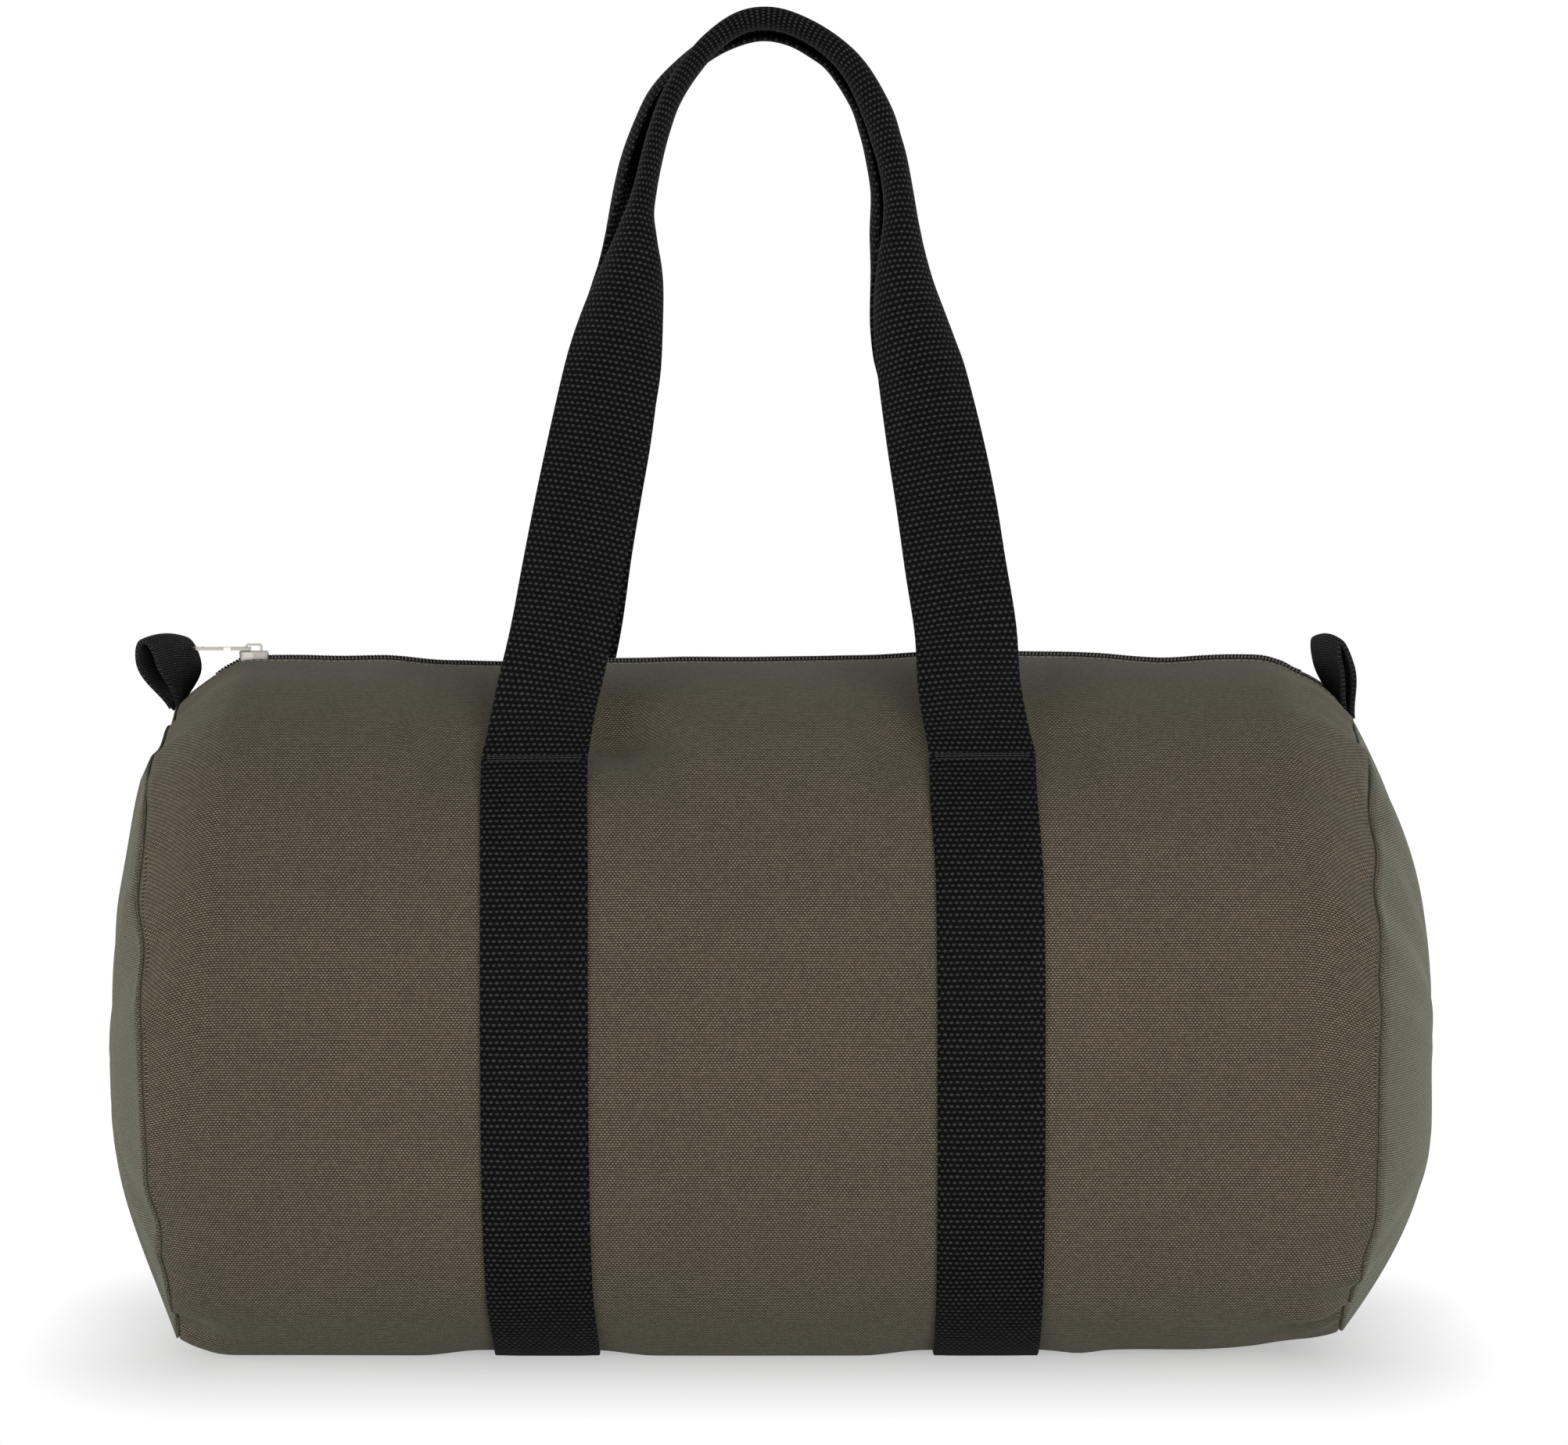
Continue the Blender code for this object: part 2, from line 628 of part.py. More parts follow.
def add_handle(name, side, webbing):
    """Free loop of webbing, flat at its feet and rolled into a round grip. side is 1 at the back."""
    pivot = handle_pivot(side)
    lean = math.asin((abs(pivot.y) - GRIPS_APART / 2) / HANDLE_RISE)
    up = Vector((0.0, -side * math.sin(lean), math.cos(lean)))
    out = Vector((0.0, side * math.cos(lean), math.sin(lean)))
    foot_lift = FIT_GAP / 2

    def place(along, across):
        middle = arch_point(along)
        ahead = arch_point(min(along + SLOPE_SHARE, 1.0))
        behind = arch_point(max(along - SLOPE_SHARE, 0.0))
        direction = (ahead - behind).normalized()
        roll_share = smooth_step(middle.y / HANDLE_RISE, ROLL_START_SHARE, ROLL_END_SHARE)
        foot_share = min(middle.y / (HANDLE_RISE * ROLL_START_SHARE), 1.0)
        width_way = Vector((direction.y, -direction.x))
        level_way = Vector((math.copysign(1, width_way.x), 0.0))
        width_way = level_way.lerp(width_way, foot_share).normalized()
        turn = max(GRIP_TURN * roll_share, SLOPE_SHARE)
        radius = WEBBING_WIDTH / turn
        angle = turn * (across - 0.5)
        wide = radius * math.sin(angle) * blend(1, GRIP_WIDTH_SHARE, roll_share)
        deep = radius * (1 - math.cos(angle)) * blend(1, GRIP_DEPTH_SHARE, roll_share)
        flat = middle + width_way * wide
        return pivot + Vector((flat.x, 0.0, 0.0)) + up * (flat.y + foot_lift) - out * deep

    sheet = lay_sheet(place, ARCH_STEPS, ROLL_STEPS)
    turn_sheet(sheet, lambda middle: middle.z, out)
    handle = add_piece(name, sheet, webbing, pivot)
    thicken(handle, WEBBING, -1)


def add_tab(name, side, webbing):
    """Short loop of webbing that stands on a seam, both ends sewn into it."""
    base = section_top(HALF_LENGTH) + FIT_GAP
    half_neck = (WEBBING + FIT_GAP) / 2
    middle = side * (HALF_LENGTH + WEBBING)

    def place(along, across):
        angle = math.tau * along
        belly = math.sin(angle) * math.sin(angle / 2) / TAB_WIDEST_SHARE
        rise = (TAB_HEIGHT - WEBBING / 2) * (1 - math.cos(angle)) / 2
        x = middle - half_neck * (1 - 2 * along) - (TAB_BELLY / 2 - half_neck) * belly
        return Vector((x + side * rise * TAB_LEAN_SHARE, TAB_WIDTH * (across - 0.5), base + rise))

    sheet = lay_sheet(place, TAB_STEPS, 1)
    turn_sheet(sheet, lambda middle: -middle.z, Vector((0.0, 0.0, 1.0)))
    tab = add_piece(name, sheet, webbing, (middle, 0.0, base))
    thicken(tab, WEBBING, 0)


def build_bag():
    clear_scene()
    canvas = make_material("olive_canvas", (0.094, 0.080, 0.053), 0.95, 0.0)
    webbing = make_material("black_webbing", (0.012, 0.012, 0.012), 0.85, 0.0)
    zip_cloth = make_material("zip_tape", (0.018, 0.017, 0.015), 0.90, 0.0)
    nylon = make_material("zip_nylon", (0.020, 0.019, 0.017), 0.45, 0.0)
    metal = make_material("nickel", (0.62, 0.60, 0.57), 0.28, 1.0)

    add_main_panel(canvas)
    add_end_panel("left_end_panel", -1, canvas)
    add_end_panel("right_end_panel", 1, canvas)
    add_seam_binding("left_seam_binding", -1, zip_cloth)
    add_seam_binding("right_seam_binding", 1, zip_cloth)
    add_zip_tape("front_zip_tape", 1, zip_cloth)
    add_zip_tape("back_zip_tape", -1, zip_cloth)
    add_zip_coil("front_zip_coil", -1, 0.25, nylon)
    add_zip_coil("back_zip_coil", 1, 0.75, nylon)
    add_slider(metal)
    add_pull(metal)
    add_strap("left_strap", -STRAP_SPACING / 2, webbing)
    add_strap("right_strap", STRAP_SPACING / 2, webbing)
    add_handle("front_handle", -1, webbing)
    add_handle("back_handle", 1, webbing)
    add_tab("left_tab", -1, webbing)
    add_tab("right_tab", 1, webbing)


build_bag()
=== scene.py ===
"""A canvas barrel bag with webbing handles, dressed for its picture on a pale floor."""

import math

import bmesh
import bpy
from bpy.props import FloatProperty, FloatVectorProperty, PointerProperty
from mathutils import Matrix, Vector, noise


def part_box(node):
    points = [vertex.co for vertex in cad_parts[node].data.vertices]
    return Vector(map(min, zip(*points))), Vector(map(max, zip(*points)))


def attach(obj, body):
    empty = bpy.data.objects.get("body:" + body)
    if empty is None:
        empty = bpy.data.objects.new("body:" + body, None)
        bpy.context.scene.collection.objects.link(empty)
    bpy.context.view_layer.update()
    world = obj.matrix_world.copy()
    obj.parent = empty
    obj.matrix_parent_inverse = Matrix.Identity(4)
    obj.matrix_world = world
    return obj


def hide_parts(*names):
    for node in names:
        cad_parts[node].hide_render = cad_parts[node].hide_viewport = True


bl_info = {
    "name": "Canvas barrel bag",
    "version": (1, 0, 0),
    "blender": (4, 5, 0),
    "location": "3D View > Sidebar > Bag",
    "description": "Builds the cloth, webbing and zip of a canvas barrel bag",
    "category": "Object",
}

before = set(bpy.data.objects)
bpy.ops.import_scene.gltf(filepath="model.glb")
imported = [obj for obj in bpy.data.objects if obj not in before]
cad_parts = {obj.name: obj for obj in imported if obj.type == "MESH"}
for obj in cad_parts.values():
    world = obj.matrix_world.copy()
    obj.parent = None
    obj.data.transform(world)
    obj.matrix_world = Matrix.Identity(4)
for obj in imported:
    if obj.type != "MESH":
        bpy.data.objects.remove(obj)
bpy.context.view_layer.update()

# Sizes that come from the frame, in metres
PANEL_LOW, PANEL_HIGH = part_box("main_panel")
STRAP_LOW, STRAP_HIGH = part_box("right_strap")
SLIDER_LOW, SLIDER_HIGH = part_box("zip_slider")
HALF_LENGTH = PANEL_HIGH[0]
HALF_DEPTH = PANEL_HIGH[1]
BAG_TOP = PANEL_HIGH[2]
BASE_LIFT = PANEL_LOW[2]
WAIST = (BAG_TOP + BASE_LIFT) / 2
END_BULGE = -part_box("left_end_panel")[0][0] - HALF_LENGTH
CHAIN_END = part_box("front_zip_coil")[1][0]
STRAP_WIDTH = STRAP_HIGH[0] - STRAP_LOW[0]
STRAP_MIDDLE = (STRAP_LOW[0] + STRAP_HIGH[0]) / 2
STITCH_HEIGHT = STRAP_HIGH[2]

# The canvas, in metres unless a share is named
CANVAS = 0.0010                 # thickness of the cloth
CROWN_POWER = 2.2               # 2 makes a round section, more makes it squarer
BELLY_POWER = 3.0
BASE_FLAT_SHARE = 0.05          # part of the half height that the ground takes off the belly
SHOULDER_LENGTH = 0.028         # over which the body draws in to a seam
SHOULDER_START = HALF_LENGTH - SHOULDER_LENGTH
SHOULDER_DROP = 0.022           # how far a seam's top lies under the bag's
SHOULDER_RISE = 0.006           # how far a seam's foot lies above the bag's
SHOULDER_PINCH = 0.007          # how far a seam draws in at the front and at the back
SEAM_REACH_START = 0.175        # from the bag's middle to where the seams' wander begins
SEAM_REACH_MOST = 1.1           # greatest share of that wander, just past the seam
SEAM_FOLD = 0.0014              # radius of a folded edge
SEAM_ALLOWANCE = 0.0090         # cloth turned in at a seam
ZIP_SLOT = 0.0105
FLOOR_GAP = 0.0004
FLOOR_REACH = 0.012             # height over which the ground flattens the cloth
SAG_START, SAG_FULL = 0.021, 0.045  # from a strap's middle to where the cloth sags beside it
SLOPE_LENGTH = 0.0005           # step over which a slope along the bag is read
SLOPE_SHARE = 0.0005            # the same, as a share of a turn
WAY_SHARE = 0.004               # the same, as a share of a loop of webbing
WELD = 0.00001
SEAM_STRIP = 0.060              # the body's cloth beside a seam, which has closer rows
BODY_GIRTH_STEPS, END_GIRTH_STEPS, END_RINGS = 236, 240, 34

# The binding of the seams and the zip
BINDING_SECTION = ((-0.0014, 0.0032), (-0.0014, 0.0094), (0.0014, 0.0094), (0.0014, 0.0032))
BINDING_THICKNESS = 0.0005
BINDING_WIDTH = 0.014           # of its flat tape
BINDING_LENGTH = 0.8
TAPE_LINES = (0.0011, 0.0030, 0.0055, 0.0100, 0.0160)  # from the bag's middle out to a tape's edge
TAPE_WIDTH = 0.015
TAPE_THICKNESS = 0.0007
TAPE_GAP = 0.0004               # between the canvas and a tape
TAPE_SETBACK = 0.003            # from a seam to the end of a tape
CHAIN_LIFT = 0.0014             # of the teeth above the inner face of the canvas
TOOTH_WIRE = 0.00042            # radius of the nylon wire
TOOTH_BEND = 0.0006             # radius of the loop that it makes
TOOTH_REACH = 0.0016            # length of the loop's legs
ROW_OVERLAP = 0.0001            # of the two shut rows
ROW_PARTING = 0.0018            # of each row from the middle line behind the slider
PARTING_DELAY = 0.004           # from the slider's front to where its wedge starts

# Webbing and thread
STRAP_GAP = 0.0003              # between the canvas and the webbing on it
STRAP_HOLLOW = 0.12             # share of the cloth's hollows that the webbing follows
STRAP_EDGE_DROOP = 0.0004
STRAP_EDGE_POWER = 6            # more keeps the droop nearer the edges
WEBBING_FACE = 0.485            # flat part of each face, as a share of the width, from its middle
WEBBING_EDGE = ((0.497, 0.82), (0.5, 0.5), (0.497, 0.18))  # rounding: (share across, share up)
GRIPS_APART = 0.0424            # between the outer faces of the two grips
FOOT_REACH = 0.035              # over which a handle's foot comes round to its loop
FOOT_SLOPE = 0.42               # of the webbing as it leaves the stitching
FOOT_TURN_REACH = 0.05          # over which the foot's level edge turns to follow the loop
FLAT_ROLL, CLOSED_ROLL = 0.02, 5.5  # angle that the webbing is rolled round when flat and as a grip
FLAT_SHARE = 0.995              # share of the full width above which the webbing counts as flat
ROLL_CLOSES = 0.016             # narrowing over which a half round rolls shut
ROLL_TRIES = 30
LEAST_SQUEEZE = 0.1
GRIP_DEPTH_SHARE = 1.16         # depth of the closed grip beside its width
TAB_WIDTH = 0.025
TAB_SINK = 0.0008               # of a tab's foot into its seam
TAB_EXTRA = 0.0015              # by which its top stands over the solid's
TAB_STAND_OFF = 0.0015          # from the seam's plane out to its middle
TAB_NECK_SHARE = 0.55           # half its neck, as a share of the webbing's thickness
TAB_WIDEST_SHARE = 0.77         # keeps the belly's greatest width at the width asked for
TAB_TWIST_SHARE = 0.7           # part of its height over which it twists
TAB_EDGE_DROOP = 0.0018
TOPSTITCH_LINE = 0.0118         # from the bag's middle
TOPSTITCH_SETBACK = 0.006       # from a seam to the first stitch
TOPSTITCH_LIFT = 0.0001
STITCHED_SHARE = 0.78           # share of the pitch that shows as thread
STRAP_STITCH_DROPS = (0.0004, 0.0012, 0.0020)  # of each row under the strap's top
STRAP_STITCH_SETBACK = 0.003    # from the webbing's edge

# Waves of the cloth that die away from a seam: (depth, waviness, seed, reach)
BODY_FOLDS = (0.0030, 2.6, 31.0, 0.055)
END_FOLDS = (0.0042, 3.4, 47.0, 0.034)
END_GATHERS = (0.0030, 7.0, 53.0, 0.013)
# Unevenness of the filled cloth: (depth, waviness along, waviness round, seed)
BODY_UNEVEN = ((0.0022, 11, 2.2, 5.0), (0.0007, 34, 7.0, 9.0))
# Gathers of a seam: (share of the pucker, waviness, seed), and how far they reach into the body
SEAM_GATHERS = ((1.1, 7.5, 11.0), (0.9, 3.4, 23.0))
GATHER_REACH = 0.020
SEAM_WEAVE = 0.0024             # by which a seam runs in and out, beside its steady wander
END_SOFTNESS = 0.003            # depth of the soft unevenness over an end panel
END_WAVINESS = 16
END_RADIUS = 0.12
TUCK_SHARE = 0.5                # part of an end's folded edge that tucks in under a tab
BACK_DENT_SHARE = 0.7           # depth of the back's hollows beside the front's

# How far each end panel stands out beside its even bulge, how low its middle hangs, how full it is
END_FORMS = {
    "left_end": (-0.0058, 0.024, 2.1),
    "right_end": (0.0034, 0.024, 2.7),
}
# How the seams wander along the bag from a true plane: (height share, left shift, right shift)
SEAM_WANDER = (
    (-1.00, 0.0086, -0.0080), (-0.83, 0.0093, -0.0082), (-0.69, 0.0074, -0.0058),
    (-0.49, 0.0047, -0.0017), (-0.32, 0.0022, 0.0012), (-0.17, 0.0001, 0.0021),
    (-0.06, -0.0008, 0.0029), (0.06, -0.0010, 0.0021), (0.14, -0.0008, 0.0015),
    (0.30, -0.0008, 0.0032), (0.45, -0.0016, 0.0014), (0.65, -0.0010, 0.0022),
    (0.73, -0.0010, 0.0015), (0.82, -0.0003, 0.0008), (0.90, 0.0020, -0.0008),
    (0.95, 0.0038, -0.0018), (1.00, 0.0050, -0.0028),
)
# Rise and fall of the top line: (x, lift)
TOP_WANDER = (
    (-0.2290, 0.0040), (-0.2220, -0.0001), (-0.2150, -0.0024), (-0.2088, -0.0026),
    (-0.2045, -0.0020), (-0.2010, -0.0008), (-0.1950, -0.0002), (-0.1460, 0.0004),
    (-0.1240, -0.0012), (-0.1040, -0.0020), (-0.0760, -0.0020), (-0.0460, -0.0011),
    (0.0040, -0.0011), (0.0390, -0.0008), (0.0640, 0.0003), (0.1040, 0.0013),
    (0.1300, 0.0012), (0.1540, -0.0004), (0.1720, 0.0000), (0.1900, -0.0005),
    (0.1962, -0.0013), (0.2022, -0.0033), (0.2082, -0.0052), (0.2200, -0.0035), (0.2290, 0.0),
)
# Hollows that the handles pull beside the strap tops, and pinches at the base's corners:
# (x, turn, reach along, reach round, depth)
DENTS = (
    (-0.053, 0.098, 0.0180, 0.026, 0.0120), (0.053, 0.112, 0.0120, 0.024, 0.0055),
    (-0.114, 0.116, 0.0120, 0.022, 0.0035), (0.115, 0.114, 0.0130, 0.026, 0.0048),
    (0.211, 0.408, 0.0200, 0.010, 0.0046), (0.213, 0.384, 0.0200, 0.012, -0.0034),
    (-0.219, 0.404, 0.0130, 0.011, 0.0030),
)
# How far the cloth hangs clear of the ground: (x, lift)
BASE_WANDER = (
    (-0.2290, 0.0), (0.1180, 0.0), (0.1330, 0.0020), (0.1680, 0.0022), (0.1860, 0.0034),
    (0.2040, 0.0056), (0.2160, 0.0050), (0.2290, 0.0034),
)
# How far the sewn straps stand off their middle lines: (turn, left, right)
STRAP_WANDER = (
    (0.0, 0.0, 0.0), (0.14, 0.0, 0.0), (0.19, 0.0006, 0.0020), (0.28, 0.0009, 0.0026),
    (0.36, 0.0019, 0.0026), (0.42, 0.0036, 0.0023), (0.50, 0.0028, 0.0016),
    (0.62, 0.0, 0.0), (1.0, 0.0, 0.0),
)
# Handle stations, over from the left foot to the right: (x, rise, width that shows)
FRONT_GRIP_LINE = (
    (-0.0840, -0.0010, 0.0400), (-0.0805, 0.0210, 0.0392), (-0.0748, 0.0470, 0.0390),
    (-0.0700, 0.0750, 0.0388), (-0.0656, 0.0990, 0.0388), (-0.0608, 0.1237, 0.0386),
    (-0.0562, 0.1482, 0.0376), (-0.0542, 0.1604, 0.0358), (-0.0521, 0.1727, 0.0322),
    (-0.0498, 0.1851, 0.0275), (-0.0482, 0.1943, 0.0230), (-0.0470, 0.2036, 0.0172),
    (-0.0456, 0.2140, 0.0120), (-0.0436, 0.2234, 0.0100), (-0.0413, 0.2346, 0.0094),
    (-0.0382, 0.2471, 0.0092), (-0.0338, 0.2596, 0.0090), (-0.0271, 0.2711, 0.0090),
    (-0.0179, 0.2822, 0.0088), (-0.0068, 0.2900, 0.0088), (0.0052, 0.2915, 0.0088),
    (0.0175, 0.2873, 0.0088), (0.0292, 0.2792, 0.0096), (0.0377, 0.2693, 0.0108),
    (0.0452, 0.2541, 0.0122), (0.0487, 0.2430, 0.0122), (0.0510, 0.2346, 0.0120),
    (0.0531, 0.2222, 0.0122), (0.0541, 0.2098, 0.0142), (0.0545, 0.1974, 0.0186),
    (0.0555, 0.1851, 0.0235), (0.0574, 0.1727, 0.0282), (0.0597, 0.1604, 0.0320),
    (0.0623, 0.1482, 0.0346), (0.0667, 0.1237, 0.0372), (0.0708, 0.0993, 0.0384),
    (0.0742, 0.0751, 0.0388), (0.0778, 0.0509, 0.0390), (0.0794, 0.0269, 0.0392),
    (0.0840, -0.0010, 0.0400),
)
BACK_GRIP_LINE = (
    (-0.0840, -0.0010, 0.0400), (-0.0790, 0.0210, 0.0392), (-0.0738, 0.0470, 0.0390),
    (-0.0698, 0.0750, 0.0388), (-0.0658, 0.0990, 0.0386), (-0.0613, 0.1237, 0.0380),
    (-0.0573, 0.1482, 0.0360), (-0.0543, 0.1700, 0.0320), (-0.0520, 0.1850, 0.0276),
    (-0.0510, 0.1943, 0.0240), (-0.0503, 0.2050, 0.0205), (-0.0498, 0.2228, 0.0150),
    (-0.0485, 0.2355, 0.0118), (-0.0448, 0.2481, 0.0104), (-0.0393, 0.2608, 0.0096),
    (-0.0308, 0.2710, 0.0092), (-0.0199, 0.2800, 0.0090), (-0.0083, 0.2856, 0.0088),
    (0.0017, 0.2876, 0.0088), (0.0117, 0.2858, 0.0088), (0.0207, 0.2810, 0.0088),
    (0.0293, 0.2740, 0.0088), (0.0384, 0.2598, 0.0090), (0.0427, 0.2480, 0.0094),
    (0.0456, 0.2371, 0.0100), (0.0484, 0.2228, 0.0112), (0.0496, 0.2069, 0.0140),
    (0.0520, 0.1926, 0.0180), (0.0552, 0.1750, 0.0250), (0.0587, 0.1604, 0.0300),
    (0.0627, 0.1482, 0.0330), (0.0674, 0.1237, 0.0364), (0.0722, 0.0993, 0.0380),
    (0.0764, 0.0751, 0.0386), (0.0804, 0.0509, 0.0390), (0.0825, 0.0269, 0.0392),
    (0.0840, -0.0010, 0.0400),
)

# Camera, floor and lamps
CAMERA_ELEVATION = math.radians(3.5)
CAMERA_DISTANCE = 3.0
CAMERA_TARGET = (0.0095, 0.0, 0.2373)
CAMERA_LENS = 178.0
FLOOR_HALF_SIZE = 6.0
# Painted shadow on the floor: size and fade of the soft grey patch round the bag, within which the real
# cast shadow shows
SHADOW_HALF_SIZE = (HALF_LENGTH - END_BULGE, HALF_DEPTH - 0.078)  # along and across the bag
SHADOW_FADE = (1.25, 0.56)      # how fast the shadow fades along and across
SHADOW_GLOW = 0.43              # least share of even white
ROOM_LIGHT = 0.14
# Lamps: (name, place, height of what it is aimed at, size, watts)
LAMPS = (
    ("key", (1.2, -2.7, 0.30), 0.13, (1.8, 1.0), 58.0),
    ("fill", (-1.7, -2.3, 0.30), 0.13, (1.8, 1.0), 31.0),
    ("left", (-2.3, 0.3, 0.25), 0.10, (1.4, 1.0), 31.0),
    ("right", (2.3, 0.3, 0.25), 0.10, (1.4, 1.0), 22.0),
)


# Sizes and colours that a user may change

def length_setting(name, description, default, least, most):
    return FloatProperty(
        name=name, description=description, default=default, min=least, max=most,
        unit="LENGTH", precision=5,
    )


def colour_setting(name, description, default):
    return FloatVectorProperty(
        name=name, description=description, default=default, min=0.0, max=1.0, subtype="COLOR",
    )


class BagSizes(bpy.types.PropertyGroup):
    """Sizes of the cloth, the webbing and the thread."""

    canvas_knot: length_setting(
        "Canvas knot pitch", "Between two knots of one row of the canvas", 0.00134, 0.0002, 0.005,
    )
    canvas_row: length_setting(
        "Canvas row pitch", "Between two rows of the canvas", 0.00093, 0.0002, 0.005,
    )
    webbing_knot: length_setting(
        "Webbing knot pitch", "Between two knots of one row of the webbing", 0.0023, 0.0002, 0.005,
    )
    webbing_row: length_setting(
        "Webbing row pitch", "Between two rows of the webbing", 0.00223, 0.0002, 0.005,
    )
    webbing_thickness: length_setting(
        "Webbing thickness", "Thickness of the webbing", 0.0021, 0.0005, 0.004,
    )
    pucker: length_setting(
        "Seam pucker", "How far the cloth gathers at the seams", 0.0032, 0.0, 0.006,
    )
    tooth_pitch: length_setting(
        "Tooth pitch", "Between two teeth of one row of the zip", 0.00137, 0.0008, 0.004,
    )
    stitch_pitch: length_setting(
        "Stitch pitch", "Between two stitches of the topstitching", 0.0027, 0.0015, 0.006,
    )


class BagColours(bpy.types.PropertyGroup):
    """Colours of the cloth, the webbing, the zip and the metal."""

    canvas: colour_setting("Canvas", "Colour of the canvas threads", (0.240, 0.190, 0.133))
    canvas_gap: colour_setting(
        "Canvas gaps", "Colour between the canvas threads", (0.016, 0.012, 0.007),
    )
    webbing: colour_setting("Webbing", "Colour of the webbing's knots", (0.044, 0.044, 0.045))
    webbing_gap: colour_setting(
        "Webbing gaps", "Colour between the webbing's knots", (0.0006, 0.0006, 0.0006),
    )
    tape: colour_setting("Zip tape", "Colour of the zip's cloth", (0.020, 0.019, 0.016))
    nylon: colour_setting("Zip teeth", "Colour of the zip's nylon", (0.022, 0.021, 0.018))
    nickel: colour_setting("Nickel", "Colour of the plated slider", (0.33, 0.31, 0.28))
    black_thread: colour_setting(
        "Black thread", "Colour of the stitching on the webbing", (0.008, 0.008, 0.008),
    )
    thread: colour_setting("Thread", "Colour of the topstitching", (0.230, 0.205, 0.150))


# Small helpers

def blend(start, end, share):
    return start + (end - start) * share


def smooth_step(value, start, end):
    share = min(max((value - start) / (end - start), 0.0), 1.0)
    return share * share * (3 - 2 * share)


def pick(values, share):
    """Value at a share of the way along a list, for a grid with a row at each value."""
    return values[round(share * (len(values) - 1))]


def spread(start, end, steps):
    return [blend(start, end, step / steps) for step in range(steps + 1)]


def along_table(table, place):
    """Values of a table of rows (place, value, ...) at a place, on a curve through all of them."""
    if place <= table[0][0]:
        return table[0][1:]
    if place >= table[-1][0]:
        return table[-1][1:]
    last = len(table) - 1
    first = max(index for index in range(last) if table[index][0] <= place)
    span = table[first + 1][0] - table[first][0]
    share = (place - table[first][0]) / span

    def slope(index, column):
        before = table[max(index - 1, 0)]
        after = table[min(index + 1, last)]
        return (after[column] - before[column]) / (after[0] - before[0]) * span

    values = []
    for column in range(1, len(table[0])):
        start, end = table[first][column], table[first + 1][column]
        leave, arrive = slope(first, column), slope(first + 1, column)
        cube = 2 * (start - end) + leave + arrive
        square = 3 * (end - start) - 2 * leave - arrive
        values.append(start + (leave + (square + cube * share) * share) * share)
    return values


def along_line(line, share):
    """Point of a line of stations at a share of the way over, on a curve through all of them."""
    place = share * (len(line) - 1)
    first = min(int(place), len(line) - 2)
    step = place - first
    before = Vector(line[max(first - 1, 0)])
    start = Vector(line[first])
    end = Vector(line[first + 1])
    after = Vector(line[min(first + 2, len(line) - 1)])
    cube = 3 * (start - end) + after - before
    square = 2 * before - 5 * start + 4 * end - after
    return start + ((end - before) + (square + cube * step) * step) * step / 2


# Materials

def new_group(name, inputs, outputs):
    """An empty node group with its sockets, and the nodes that stand for them inside it."""
    group = bpy.data.node_groups.new(name, "ShaderNodeTree")
    for label, kind, value in inputs:
        socket = group.interface.new_socket(name=label, in_out="INPUT", socket_type=kind)
        if value is not None:
            socket.default_value = value
    for label, kind in outputs:
        group.interface.new_socket(name=label, in_out="OUTPUT", socket_type=kind)
    source = group.nodes.new("NodeGroupInput")
    sink = group.nodes.new("NodeGroupOutput")
    return group, source, sink


def feed(tree, socket, value):
    """Link a socket to another one, or give it a value of its own."""
    if isinstance(value, bpy.types.NodeSocket):
        tree.links.new(value, socket)
    else:
        socket.default_value = value


def math_node(tree, operation, *values):
    node = tree.nodes.new("ShaderNodeMath")
    node.operation = operation
    for socket, value in zip(node.inputs, values):
        feed(tree, socket, value)
    return node.outputs[0]


def vector_node(tree, operation, *values):
    node = tree.nodes.new("ShaderNodeVectorMath")
    node.operation = operation
    sockets = [socket for socket in node.inputs if socket.enabled]
    for socket, value in zip(sockets, values):
        feed(tree, socket, value)
    return node.outputs["Value" if operation == "LENGTH" else "Vector"]


